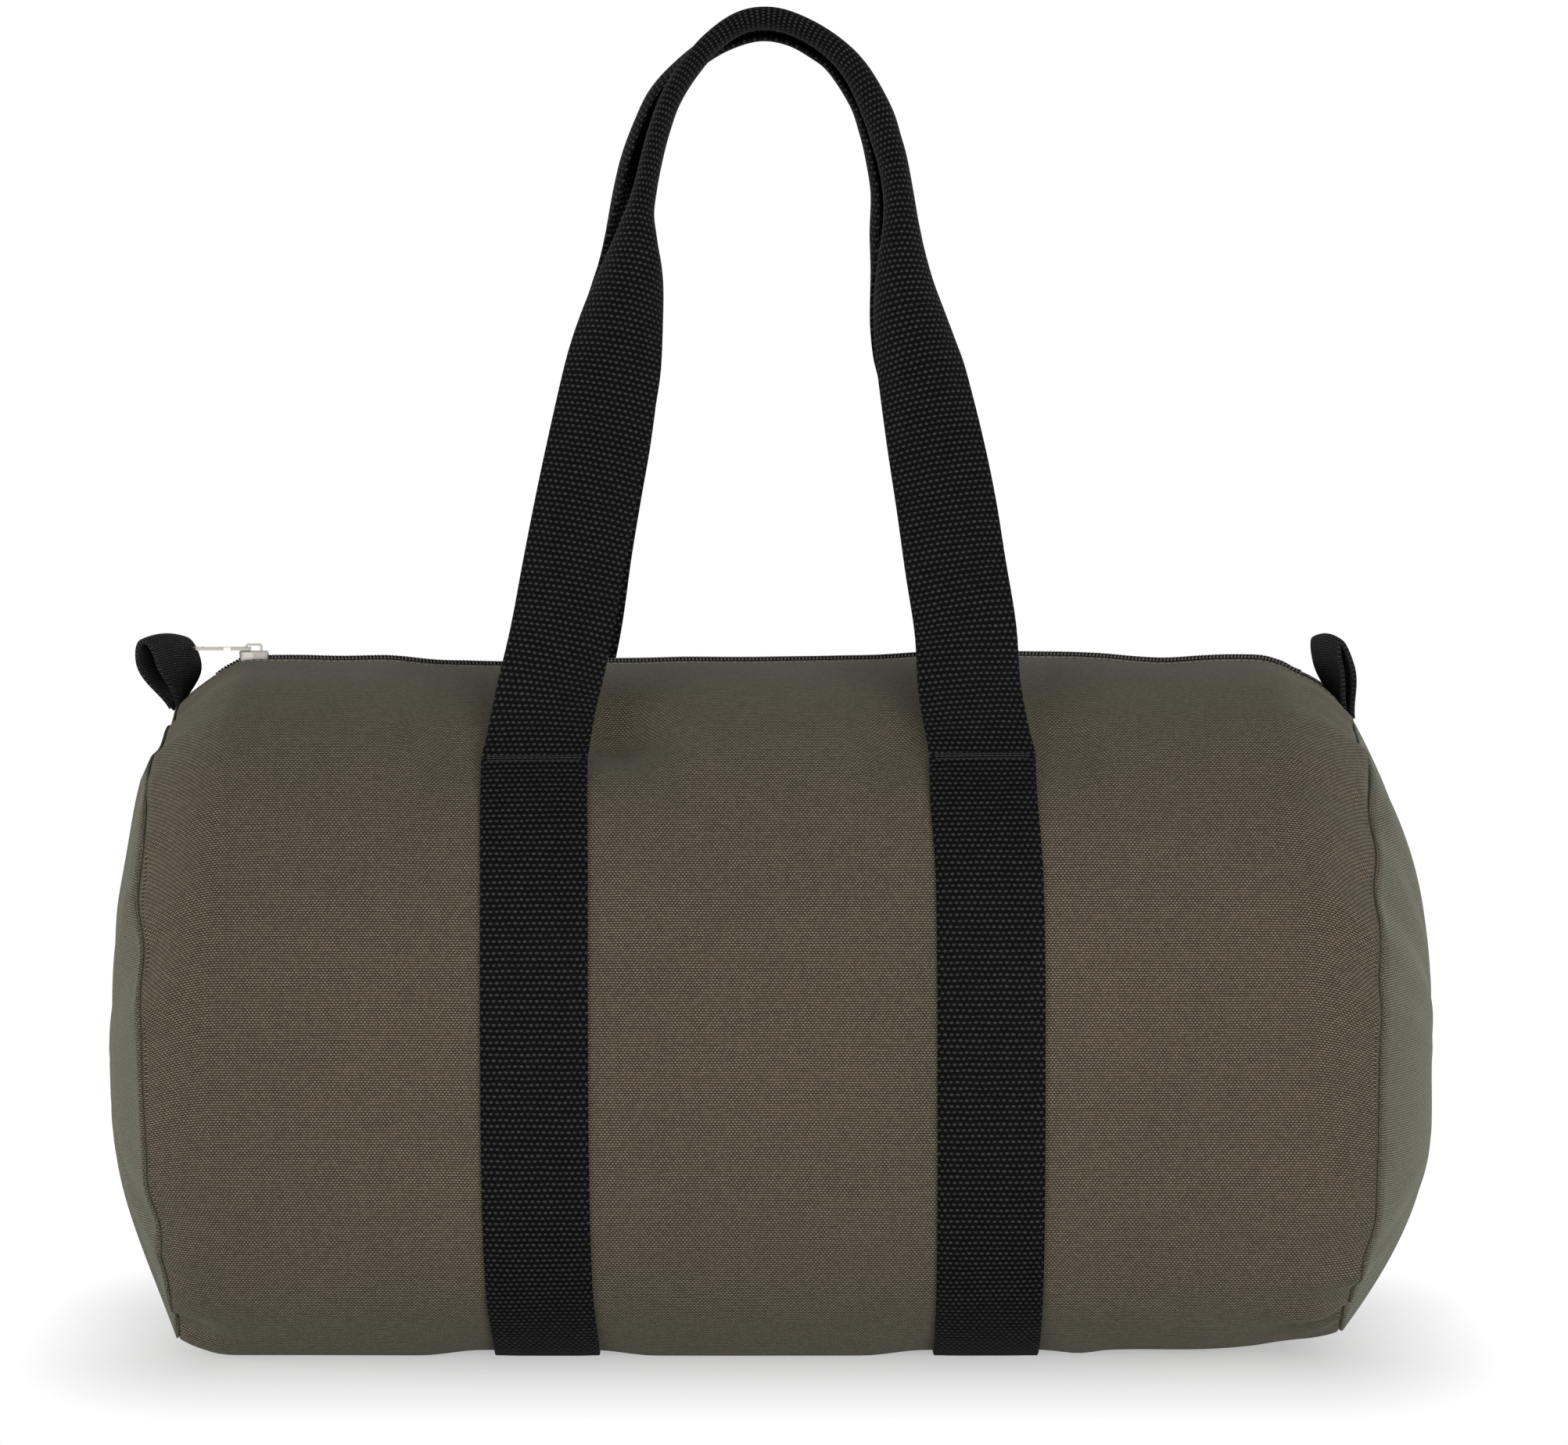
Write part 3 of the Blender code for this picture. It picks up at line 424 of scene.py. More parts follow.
def make_weave_group():
    """Plain weave: rows of domed knots, each row half a step along from the one before."""
    group, source, sink = new_group(
        "plain_weave",
        [
            ("Vector", "NodeSocketVector", None),
            ("Knot Pitch", "NodeSocketFloat", 0.001),
            ("Row Pitch", "NodeSocketFloat", 0.001),
            ("Knot Length", "NodeSocketFloat", 1.0),
            ("Knot Height", "NodeSocketFloat", 1.0),
            ("Floor", "NodeSocketFloat", 0.1),
        ],
        [("Height", "NodeSocketFloat"), ("Yarn", "NodeSocketFloat")],
    )
    split = group.nodes.new("ShaderNodeSeparateXYZ")
    group.links.new(source.outputs["Vector"], split.inputs[0])
    wander = group.nodes.new("ShaderNodeTexNoise")
    wander.inputs["Scale"].default_value = 150.0
    wander.inputs["Detail"].default_value = 2.0
    group.links.new(source.outputs["Vector"], wander.inputs["Vector"])
    drift = math_node(group, "MULTIPLY_ADD", wander.outputs["Fac"], 1.0, -0.5)
    row_place = math_node(group, "DIVIDE", split.outputs["Y"], source.outputs["Row Pitch"])
    row_place = math_node(group, "MULTIPLY_ADD", drift, 0.35, row_place)
    row = math_node(group, "FLOOR", row_place)
    stagger = math_node(group, "FLOORED_MODULO", row, 2.0)
    knot_place = math_node(group, "DIVIDE", split.outputs["X"], source.outputs["Knot Pitch"])
    knot_place = math_node(group, "MULTIPLY_ADD", drift, 0.30, knot_place)
    knot_place = math_node(group, "MULTIPLY_ADD", stagger, 0.5, knot_place)
    knot = math_node(group, "FLOOR", knot_place)
    across = math_node(group, "SUBTRACT", math_node(group, "SUBTRACT", knot_place, knot), 0.5)
    up = math_node(group, "SUBTRACT", math_node(group, "SUBTRACT", row_place, row), 0.5)
    across = math_node(group, "DIVIDE", across, source.outputs["Knot Length"])
    up = math_node(group, "DIVIDE", up, source.outputs["Knot Height"])
    squares = math_node(group, "MULTIPLY_ADD", up, up, math_node(group, "MULTIPLY", across, across))
    dome = math_node(group, "MULTIPLY_ADD", squares, -4.0, 1.0)
    dome = math_node(group, "SQRT", math_node(group, "MAXIMUM", dome, 0.0))
    rise = math_node(group, "SUBTRACT", 1.0, source.outputs["Floor"])
    height = math_node(group, "MULTIPLY_ADD", dome, rise, source.outputs["Floor"])
    group.links.new(height, sink.inputs["Height"])
    cell = group.nodes.new("ShaderNodeCombineXYZ")
    group.links.new(knot, cell.inputs["X"])
    group.links.new(row, cell.inputs["Y"])
    yarn = group.nodes.new("ShaderNodeTexWhiteNoise")
    yarn.noise_dimensions = "2D"
    group.links.new(cell.outputs[0], yarn.inputs["Vector"])
    group.links.new(yarn.outputs["Value"], sink.inputs["Yarn"])
    return group


def make_mottle_group():
    """Uneven dye and handling: soft patches, and finer ones within them."""
    group, source, sink = new_group(
        "mottle",
        [
            ("Vector", "NodeSocketVector", None),
            ("Patch Scale", "NodeSocketFloat", 14.0),
            ("Fine Scale", "NodeSocketFloat", 90.0),
            ("Amount", "NodeSocketFloat", 0.2),
        ],
        [("Value", "NodeSocketFloat")],
    )
    values = []
    for label, detail in (("Patch Scale", 3.0), ("Fine Scale", 2.0)):
        patches = group.nodes.new("ShaderNodeTexNoise")
        patches.inputs["Detail"].default_value = detail
        group.links.new(source.outputs["Vector"], patches.inputs["Vector"])
        group.links.new(source.outputs[label], patches.inputs["Scale"])
        values.append(math_node(group, "SUBTRACT", patches.outputs["Fac"], 0.5))
    both = math_node(group, "MULTIPLY_ADD", values[1], 0.5, values[0])
    scaled = math_node(group, "MULTIPLY", both, source.outputs["Amount"])
    value = math_node(group, "ADD", scaled, 1.0)
    group.links.new(value, sink.inputs["Value"])
    return group


def group_once(name, maker):
    return bpy.data.node_groups.get(name) or maker()


def place_group(tree, group, values):
    node = tree.nodes.new("ShaderNodeGroup")
    node.node_tree = group
    for label, value in values.items():
        feed(tree, node.inputs[label], value)
    return node


def new_material(name):
    material = bpy.data.materials.new(name)
    material.use_nodes = True
    tree = material.node_tree
    return material, tree, tree.nodes["Principled BSDF"]


def woven_material(name, colours, weave, relief, roughness, gloss, sheen, sheen_tint=(1.0, 1.0, 1.0)):
    """Cloth in a plain weave that follows the piece's own UV map, which is in metres.

    colours are those of the threads and of the gaps between them.
    """
    material, tree, shader = new_material(name)
    chart = tree.nodes.new("ShaderNodeUVMap")
    chart.uv_map = "weave"
    where = tree.nodes.new("ShaderNodeTexCoord")
    weave_node = place_group(tree, group_once("plain_weave", make_weave_group), weave)
    tree.links.new(chart.outputs["UV"], weave_node.inputs["Vector"])
    patches = place_group(tree, group_once("mottle", make_mottle_group), {
        "Vector": where.outputs["Object"],
        "Amount": 0.20,
    })
    mix = tree.nodes.new("ShaderNodeMix")
    mix.data_type = "RGBA"
    thread, gap = colours
    mix.inputs["A"].default_value = (*gap, 1.0)
    mix.inputs["B"].default_value = (*thread, 1.0)
    tree.links.new(weave_node.outputs["Height"], mix.inputs["Factor"])
    uneven = math_node(tree, "MULTIPLY_ADD", weave_node.outputs["Yarn"], 0.36, 0.82)
    shade = math_node(tree, "MULTIPLY", patches.outputs["Value"], uneven)
    tint = vector_node(tree, "SCALE", mix.outputs["Result"], shade)
    tree.links.new(tint, shader.inputs["Base Color"])
    bump = tree.nodes.new("ShaderNodeBump")
    bump.inputs["Strength"].default_value = 1.0
    bump.inputs["Distance"].default_value = relief
    tree.links.new(weave_node.outputs["Height"], bump.inputs["Height"])
    tree.links.new(bump.outputs["Normal"], shader.inputs["Normal"])
    shader.inputs["Roughness"].default_value = roughness
    shader.inputs["Specular IOR Level"].default_value = gloss
    shader.inputs["Sheen Weight"].default_value = sheen
    shader.inputs["Sheen Roughness"].default_value = 0.5
    shader.inputs["Sheen Tint"].default_value = (*sheen_tint, 1.0)
    return material


def knots(pitch, rows, length, height, floor):
    """Values for the weave: pitches in metres, the rest as shares of them."""
    return {
        "Knot Pitch": pitch, "Row Pitch": rows, "Knot Length": length, "Knot Height": height,
        "Floor": floor,
    }


def plain_material(name, colour, roughness, metallic, mottle):
    material, tree, shader = new_material(name)
    where = tree.nodes.new("ShaderNodeTexCoord")
    patches = place_group(tree, group_once("mottle", make_mottle_group), {
        "Vector": where.outputs["Object"],
        "Amount": mottle,
        "Patch Scale": 120.0,
        "Fine Scale": 900.0,
    })
    tint = vector_node(tree, "SCALE", tuple(colour), patches.outputs["Value"])
    tree.links.new(tint, shader.inputs["Base Color"])
    shader.inputs["Roughness"].default_value = roughness
    shader.inputs["Metallic"].default_value = metallic
    return material


def canvas_finish(name, scene):
    """The canvas. The end panels, seen at a slant, get a copy of it with more sheen: a painted
    highlight that makes them lighter and greener than the same cloth on the body.
    """
    sizes, colours = scene.bag_sizes, scene.bag_colours
    return woven_material(
        name, (colours.canvas, colours.canvas_gap),
        knots(sizes.canvas_knot, sizes.canvas_row, length=0.95, height=0.78, floor=0.05),
        relief=0.00030, roughness=0.92, gloss=0.20,
        # painted highlight: the end panels' copy of the same canvas has more than twice the body's
        # sheen
        sheen=0.34 if name == "end_canvas_cloth" else 0.15, sheen_tint=(0.74, 0.90, 0.72),
    )


def webbing_finish(name, scene):
    sizes, colours = scene.bag_sizes, scene.bag_colours
    return woven_material(
        name, (colours.webbing, colours.webbing_gap),
        knots(sizes.webbing_knot, sizes.webbing_row, length=0.78, height=0.62, floor=0.04),
        relief=0.00060, roughness=0.72, gloss=0.04, sheen=0.0,
    )


def tab_finish(name, scene):
    """The tabs' lighter webbing."""
    colours = scene.bag_colours
    return woven_material(
        name, (colours.webbing, colours.webbing_gap),
        knots(pitch=0.0014, rows=0.0010, length=0.85, height=0.75, floor=0.15),
        relief=0.00030, roughness=0.72, gloss=0.04, sheen=0.0,
    )


def tape_finish(name, scene):
    colours = scene.bag_colours
    return woven_material(
        name, (colours.tape, colours.webbing_gap),
        knots(pitch=0.0009, rows=0.0006, length=1.0, height=0.9, floor=0.2),
        relief=0.00015, roughness=0.9, gloss=0.1, sheen=0.1, sheen_tint=(0.8, 0.8, 0.8),
    )


def nylon_finish(name, scene):
    return plain_material(name, scene.bag_colours.nylon, roughness=0.42, metallic=0.0, mottle=0.2)


def nickel_finish(name, scene):
    return plain_material(name, scene.bag_colours.nickel, roughness=0.34, metallic=1.0, mottle=0.12)


def canvas_thread_finish(name, scene):
    return plain_material(name, scene.bag_colours.thread, roughness=0.85, metallic=0.0, mottle=0.3)


def black_thread_finish(name, scene):
    return plain_material(name, scene.bag_colours.black_thread, roughness=0.9, metallic=0.0, mottle=0.3)


FINISHES = {
    "canvas_cloth": canvas_finish,
    "end_canvas_cloth": canvas_finish,
    "webbing_cloth": webbing_finish,
    "tab_cloth": tab_finish,
    "tape_cloth": tape_finish,
    "zip_nylon": nylon_finish,
    "nickel_plate": nickel_finish,
    "canvas_thread": canvas_thread_finish,
    "black_thread": black_thread_finish,
}


def material_for(name):
    """The finish of that name, made the first time a piece asks for it."""
    ready = bpy.data.materials.get(name)
    return ready or FINISHES[name](name, bpy.context.scene)


# Sheets and pieces

def lay_sheet(place, long_steps, wide_steps, chart, welded=False):
    """Lay a flat grid over a form, with a chart in metres for the weave."""
    sheet = bmesh.new()
    bmesh.ops.create_grid(sheet, x_segments=long_steps, y_segments=wide_steps, size=0.5)
    layer = sheet.loops.layers.uv.new("weave")
    for face in sheet.faces:
        for loop in face.loops:
            loop[layer].uv = chart(loop.vert.co.x + 0.5, loop.vert.co.y + 0.5)
    for vertex in sheet.verts:
        vertex.co = place(vertex.co.x + 0.5, vertex.co.y + 0.5)
    if welded:
        bmesh.ops.remove_doubles(sheet, verts=sheet.verts, dist=WELD)
    return sheet


def face_outwards(sheet, outwards):
    """Make an open sheet's faces look the way outwards says for the middle of each face."""
    sheet.normal_update()
    votes = sum(face.normal.dot(outwards(face.calc_center_median())) for face in sheet.faces)
    if votes < 0:
        bmesh.ops.reverse_faces(sheet, faces=sheet.faces)


def finish_piece(name, sheet, material, body, nodes):
    """Put a finished bmesh into an object at the origin, on its body and for its nodes."""
    mesh = bpy.data.meshes.new(name)
    sheet.to_mesh(mesh)
    sheet.free()
    mesh.shade_smooth()
    mesh.materials.append(material_for(material))
    piece = bpy.data.objects.new(name, mesh)
    bpy.context.scene.collection.objects.link(piece)
    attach(piece, body)
    if nodes:
        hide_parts(*nodes)
    return piece


def thicken(piece, thickness, side):
    wall = piece.modifiers.new("thickness", "SOLIDIFY")
    wall.thickness = thickness
    wall.offset = side
    wall.use_even_offset = False


# Shape of the body

def shoulder_share(x):
    """0 along the straight part of the bag, 1 at the seam."""
    share = max(abs(x) - SHOULDER_START, 0.0) / SHOULDER_LENGTH
    return min(share, 1.0) ** 2


def section_point(x, turn):
    """Point of the even form. turn goes once round, from the top by way of the front."""
    angle = math.tau * turn
    across = math.sin(angle)
    up = math.cos(angle)
    power = CROWN_POWER if up > 0 else BELLY_POWER
    half_depth = HALF_DEPTH - SHOULDER_PINCH * shoulder_share(x)
    top = BAG_TOP - SHOULDER_DROP * shoulder_share(x)
    bottom = BASE_LIFT + SHOULDER_RISE * shoulder_share(x)
    waist = (top + bottom) / 2
    y_share = -math.copysign(abs(across) ** (2 / power), across)
    z_share = math.copysign(abs(up) ** (2 / power), up)
    if z_share > 0:
        return Vector((x, half_depth * y_share, waist + (top - waist) * z_share))
    drop_share = min(-z_share / (1 - BASE_FLAT_SHARE), 1.0)
    return Vector((x, half_depth * y_share, waist - (waist - bottom) * drop_share))


def turn_at_height(height):
    share = (height - WAIST) / (BAG_TOP - WAIST)
    return math.acos(share ** (CROWN_POWER / 2)) / math.tau


def turn_at_width(offset):
    return math.asin((offset / HALF_DEPTH) ** (CROWN_POWER / 2)) / math.tau


def height_share(turn):
    """1 at the top of the girth, 0 at its waist, -1 at the ground."""
    return math.cos(math.tau * turn)


def ring_noise(turn, waviness, seed):
    """Even wandering round the girth."""
    around = math.sin(math.tau * turn)
    return noise.noise(Vector((waviness * height_share(turn), waviness * around, seed)))


def off_ground(turn):
    """1 over most of the girth, 0 under the bag, where its weight presses the cloth flat."""
    return smooth_step(height_share(turn), -0.97, -0.55)


def low_gather(turn):
    """As off_ground, but the gathers of a seam run on until they almost touch the ground."""
    low = smooth_step(height_share(turn), -0.985, -0.86)
    return low * (1 + 0.5 * smooth_step(height_share(turn), -0.3, -0.8))


def seam_shift(turn, side):
    """How far a seam stands from its even place along X."""
    left, right = along_table(SEAM_WANDER, height_share(turn))
    steady = left if side < 0 else right
    calm = smooth_step(height_share(turn), 1.0, 0.85)
    weave = SEAM_WEAVE * calm * ring_noise(turn, 5.0, 3.0 + side)
    return steady + weave * off_ground(turn)


def seam_depth(turn, side):
    """How far the gathers lift the cloth beside a seam, up and down round the girth."""
    pucker = bpy.context.scene.bag_sizes.pucker
    gathers = sum(
        share * ring_noise(turn, waviness, seed * side) for share, waviness, seed in SEAM_GATHERS
    )
    return pucker * gathers * low_gather(turn)


def seam_wave(wave, turn, side, away):
    """Lift of the cloth by one kind of wave, a distance away from the seam."""
    depth, waviness, seed, reach = wave
    return depth * ring_noise(turn, waviness, seed * side) * math.exp(-away / reach)


def cloth_lift(x, turn, hollow=1.0):
    """How far the filled cloth stands off the even form, square to it.

    hollow is the share of the dents that counts.
    """
    side = 1 if x > 0 else -1
    away = max(HALF_LENGTH - abs(x), 0.0)
    gathers = seam_depth(turn, side) * math.exp(-away / GATHER_REACH)
    loose = seam_wave(BODY_FOLDS, turn, side, away)
    for depth, along, around, seed in BODY_UNEVEN:
        loose += depth * noise.noise(Vector((x * along, around * height_share(turn), seed)))
    dents = 0.0
    for middle_x, middle_turn, reach_x, reach_turn, depth in DENTS:
        for place, share in ((turn, 1.0), (1 - turn, BACK_DENT_SHARE)):
            near = ((x - middle_x) / reach_x) ** 2 + ((place - middle_turn) / reach_turn) ** 2
            dents -= depth * share * math.exp(-near)
    return gathers + loose * off_ground(turn) + dents * hollow


def body_point(x, turn, lift=0.0, hollow=1.0):
    """Point a distance out from the filled cloth's outer face, square to it."""
    before = section_point(x, turn - SLOPE_SHARE)
    after = section_point(x, turn + SLOPE_SHARE)
    inner = section_point(x - SLOPE_LENGTH, turn)
    outer = section_point(x + SLOPE_LENGTH, turn)
    normal = (after - before).cross(outer - inner).normalized()
    point = section_point(x, turn) + normal * (lift + cloth_lift(x, turn, hollow))
    return settle(point, x, turn)


def settle(point, x, turn):
    """Carry a point of the even form over to where the real seams and top line run."""
    side = 1 if x > 0 else -1
    reach = max(abs(x) - SEAM_REACH_START, 0.0) / (HALF_LENGTH - SEAM_REACH_START)
    shift = seam_shift(turn, side) * min(reach, SEAM_REACH_MOST) ** 2
    top_share = max(height_share(turn), 0.0) ** 2
    low_share = smooth_step(BASE_LIFT + FLOOR_REACH - point.z, 0.0, FLOOR_REACH)
    beside = abs(abs(x) - STRAP_MIDDLE)
    sag = (BASE_LIFT - FLOOR_GAP) * smooth_step(beside, SAG_START, SAG_FULL)
    rise = along_table(TOP_WANDER, x)[0] * top_share
    rise += (along_table(BASE_WANDER, x)[0] - sag) * low_share
    point = point + Vector((shift, 0.0, rise))
    point.z = max(point.z, FLOOR_GAP)
    return point


def rim_point(x, turn, inset):
    """Point of a seam flange, a distance in from the outer face within its section."""
    before = section_point(x, turn - SLOPE_SHARE)
    after = section_point(x, turn + SLOPE_SHARE)
    along = (after - before).normalized()
    inwards = -Vector((0.0, along.z, -along.y))
    point = section_point(x, turn) + inwards * (inset - cloth_lift(x, turn))
    return settle(point, x, turn)


def girth_turns(start, steps):
    return spread(start, 1 - start, steps)


def seam_fold():
    """Steps (along, inset) of a folded edge, a quarter turn from the seam on to the outer face."""
    return [
        (SEAM_FOLD * (1 - math.cos(angle)), SEAM_FOLD * (1 - math.sin(angle)))
        for angle in spread(0.0, math.pi / 2, 4)
    ]


def body_stations():
    """Stations (x, inset) of the main panel, close together near the seams."""
    half = [(HALF_LENGTH, SEAM_ALLOWANCE), (HALF_LENGTH, SEAM_ALLOWANCE / 2)]
    half += [(HALF_LENGTH - along, inset) for along, inset in seam_fold()]
    strip_end = HALF_LENGTH - SEAM_STRIP
    half += [(x, 0.0) for x in spread(half[-1][0], strip_end, 26)[1:]]
    half += [(x, 0.0) for x in spread(strip_end, 0.0, 44)[1:]]
    left = [(-x, inset) for x, inset in half[:-1]]
    return left + half[::-1]


def canvas_body():
    stations = body_stations()
    turns = girth_turns(turn_at_width(ZIP_SLOT / 2), BODY_GIRTH_STEPS)
    lengths = running_lengths([section_point(0.0, turn) for turn in turns])

    def place(along, around):
        x, inset = pick(stations, along)
        turn = pick(turns, around)
        return rim_point(x, turn, inset) if inset > 0 else body_point(x, turn)

    def chart(along, around):
        x, inset = pick(stations, along)
        return x + math.copysign(inset, x), -pick(lengths, around)

    sheet = lay_sheet(place, len(stations) - 1, len(turns) - 1, chart)
    face_outwards(sheet, lambda middle: Vector((0.0, middle.y, middle.z - WAIST)))
    piece = finish_piece("canvas_body", sheet, "canvas_cloth", "bag", ["main_panel"])
    thicken(piece, CANVAS, -1)


def canvas_end(name, side, node):
    rim = [(HALF_LENGTH, SEAM_ALLOWANCE, 1.0), (HALF_LENGTH, SEAM_ALLOWANCE / 2, 1.0)]
    rim += [(HALF_LENGTH + along, inset, 1.0) for along, inset in seam_fold()]
    rim_x = rim[-1][0]
    stand_out, sag, fullness = END_FORMS[name]
    bulge = END_BULGE - SEAM_FOLD + stand_out
    for share in [1 - step / END_RINGS for step in range(1, END_RINGS - 1)]:
        rim.append((rim_x + bulge * (1 - share ** fullness), 0.0, share))
    turns = spread(0.0, 1.0, END_GIRTH_STEPS)
    peak = Vector((0.0, 0.0, (BAG_TOP - SHOULDER_DROP + BASE_LIFT + SHOULDER_RISE) / 2 - sag))

    def place(around, inwards):
        x, inset, share = pick(rim, inwards)
        turn = pick(turns, around)
        height = height_share(turn)
        edge = rim_point(side * HALF_LENGTH, turn, inset)
        away = (1 - share) * END_RADIUS
        folds = seam_wave(END_FOLDS, turn, side, away) + seam_wave(END_GATHERS, turn, side, away)
        calm = smooth_step(height, 1.0, 0.80) * smooth_step(share, 1.0, 0.93)
        waviness = END_WAVINESS * share
        soft = noise.noise(Vector((edge.y * waviness, edge.z * waviness, 61.0 * side)))
        lift = folds * calm + END_SOFTNESS * soft * (1 - share)
        tuck = min(x - HALF_LENGTH, SEAM_FOLD) * TUCK_SHARE * smooth_step(height, 0.80, 0.95)
        out = x - HALF_LENGTH - tuck + lift * off_ground(turn)
        steady_x = blend(side * HALF_LENGTH, edge.x, smooth_step(share, 0.2, 1.0))
        return Vector((
            steady_x + side * out, blend(peak.y, edge.y, share), blend(peak.z, edge.z, share),
        ))

    charted = {}

    def chart(around, inwards):
        """Distance and bearing from the panel's middle, so the weave isn't stretched at its rim."""
        if around not in charted:
            line = [place(around, share) for share in spread(1.0, 0.0, len(rim) - 1)]
            charted[around] = (line[0], running_lengths(line)[::-1])
        middle, lengths = charted[around]
        bearing = Vector((middle.y - peak.y, middle.z - peak.z))
        reach = bearing.length + pick(lengths, inwards)
        bearing.normalize()
        return bearing.x * reach, bearing.y * reach

    sheet = lay_sheet(place, len(turns) - 1, len(rim) - 1, chart, welded=True)
    inner = [edge for edge in sheet.edges if edge.is_boundary
             and abs(edge.verts[0].co.x) > rim_x + bulge / 2]
    bmesh.ops.edgeloop_fill(sheet, edges=inner)
    bmesh.ops.recalc_face_normals(sheet, faces=sheet.faces)
    face_outwards(sheet, lambda middle: Vector((side, 0.0, 0.0)))
    layer = sheet.loops.layers.uv.verify()
    for face in sheet.faces:
        if len(face.verts) > 4:
            for loop in face.loops:
                loop[layer].uv = (loop.vert.co.y - peak.y, loop.vert.co.z - peak.z)
    # the end panels take the canvas copy with more sheen, a painted highlight
    piece = finish_piece(name, sheet, "end_canvas_cloth", "bag", [node])
    thicken(piece, CANVAS, -1)


def seam_binding(name, side, node):
    """Binding tape folded over the turned-in edges of a seam, inside the bag."""
    turns = spread(0.0, 1.0, 160)

    def place(around, over):
        offset, inset = pick(BINDING_SECTION, over)
        point = rim_point(side * HALF_LENGTH, pick(turns, around), inset)
        point.x += side * offset
        return point

    def chart(around, over):
        return around * BINDING_LENGTH, over * BINDING_WIDTH

    sheet = lay_sheet(place, len(turns) - 1, len(BINDING_SECTION) - 1, chart, welded=True)
    piece = finish_piece(name, sheet, "tape_cloth", "bag", [node])
    thicken(piece, BINDING_THICKNESS, 0)


# Zip

def zip_tape(name, side, node):
    end = HALF_LENGTH - TAPE_SETBACK
    stations = spread(-end, end, 150)
    turns = [turn_at_width(width) for width in TAPE_LINES]

    def place(along, across):
        point = body_point(pick(stations, along), pick(turns, across), -CANVAS - TAPE_GAP)
        return Vector((point.x, point.y * side, point.z))

    def chart(along, across):
        return pick(stations, along), across * TAPE_WIDTH

    sheet = lay_sheet(place, len(stations) - 1, len(turns) - 1, chart)
    face_outwards(sheet, lambda middle: Vector((0.0, 0.0, 1.0)))
    piece = finish_piece(name, sheet, "tape_cloth", "bag", [node])
    thicken(piece, TAPE_THICKNESS, -1)


def one_tooth():
    """A nylon loop: a half turn of round wire that opens towards its tape."""
    tooth = bmesh.new()
    bmesh.ops.create_circle(tooth, cap_ends=False, segments=6, radius=TOOTH_WIRE)
    bmesh.ops.rotate(tooth, verts=tooth.verts, matrix=Matrix.Rotation(math.pi / 2, 3, "Y"))
    bmesh.ops.translate(tooth, verts=tooth.verts, vec=(0.0, 0.0, TOOTH_BEND))
    ring = tooth.edges[:]
    bmesh.ops.rotate(tooth, verts=tooth.verts, matrix=Matrix.Rotation(math.pi / 2, 3, "Z"))
    spun = bmesh.ops.spin(
        tooth, geom=ring, cent=(0.0, 0.0, 0.0), axis=(1.0, 0.0, 0.0),
        angle=math.pi, steps=4, use_merge=False, use_duplicate=False,
    )
    ends = [item for item in spun["geom_last"] if isinstance(item, bmesh.types.BMEdge)]
    for loop in (ring, ends):
        legs = bmesh.ops.extrude_edge_only(tooth, edges=loop)
        tips = [item for item in legs["geom"] if isinstance(item, bmesh.types.BMVert)]
        bmesh.ops.translate(tooth, verts=tips, vec=(0.0, TOOTH_REACH, 0.0))
    bmesh.ops.recalc_face_normals(tooth, faces=tooth.faces)
    mesh = bpy.data.meshes.new("tooth")
    tooth.to_mesh(mesh)
    tooth.free()
    return mesh


def repeat_shape(target, shape, places):
    """Add a copy of a small mesh to a bmesh at each placement."""
    for place in places:
        known = len(target.verts)
        target.from_mesh(shape)
        target.verts.ensure_lookup_table()
        bmesh.ops.transform(target, matrix=place, verts=target.verts[known:])


def chain_point(x):
    """Middle of the chain over a station of the body."""
    return body_point(x, 0.0, -CANVAS) + Vector((0.0, 0.0, CHAIN_LIFT))


def chain_slope(x):
    way = chain_point(x + SLOPE_LENGTH) - chain_point(x - SLOPE_LENGTH)
    return math.atan2(way.z, way.x)


def row_parting(x):
    """How far a row stands off the middle line past the slider."""
    return ROW_PARTING * smooth_step(-x, PARTING_DELAY - SLIDER_HIGH[0], -SLIDER_LOW[0])


def zip_row(name, side, phase, node):
    pitch = bpy.context.scene.bag_sizes.tooth_pitch
    count = int(2 * CHAIN_END / pitch) - 1
    tooth = one_tooth()
    row = bmesh.new()
    places = []
    for index in range(count):
        x = -CHAIN_END + (index + phase) * pitch
        turn = Matrix.Rotation(-chain_slope(x), 4, "Y")
        if side < 0:
            turn = turn @ Matrix.Rotation(math.pi, 4, "Z")
        spot = chain_point(x)
        spot.y = side * (row_parting(x) - ROW_OVERLAP)
        places.append(Matrix.Translation(spot) @ turn)
    repeat_shape(row, tooth, places)
    bpy.data.meshes.remove(tooth)
    finish_piece(name, row, "zip_nylon", "bag", [node])


# Webbing

def webbing_ring(width_steps):
    """Outline (across, lift) of the webbing's section, as shares of its width and thickness."""
    face = spread(-WEBBING_FACE, WEBBING_FACE, width_steps)
    ring = [(across, 1.0) for across in face] + list(WEBBING_EDGE)
    ring += [(across, 0.0) for across in face[::-1]]
    ring += [(-across, lift) for across, lift in WEBBING_EDGE[::-1]]
    return ring + ring[:1]


def sweep_webbing(point, stations, lengths, width, width_steps):
    """A closed length of webbing. point turns (station, across, lift) into a place."""
    ring = webbing_ring(width_steps)

    def place(along, around):
        across, lift = pick(ring, around)
        return point(pick(stations, along), across, lift)

    def chart(along, around):
        across, lift = pick(ring, around)
        return across * width, pick(lengths, along)

    sheet = lay_sheet(place, len(stations) - 1, len(ring) - 1, chart, welded=True)
    rims = [edge for edge in sheet.edges if edge.is_boundary]
    bmesh.ops.holes_fill(sheet, edges=rims, sides=0)
    bmesh.ops.recalc_face_normals(sheet, faces=sheet.faces)
    if sheet.calc_volume(signed=True) < 0:
        bmesh.ops.reverse_faces(sheet, faces=sheet.faces)
    return sheet


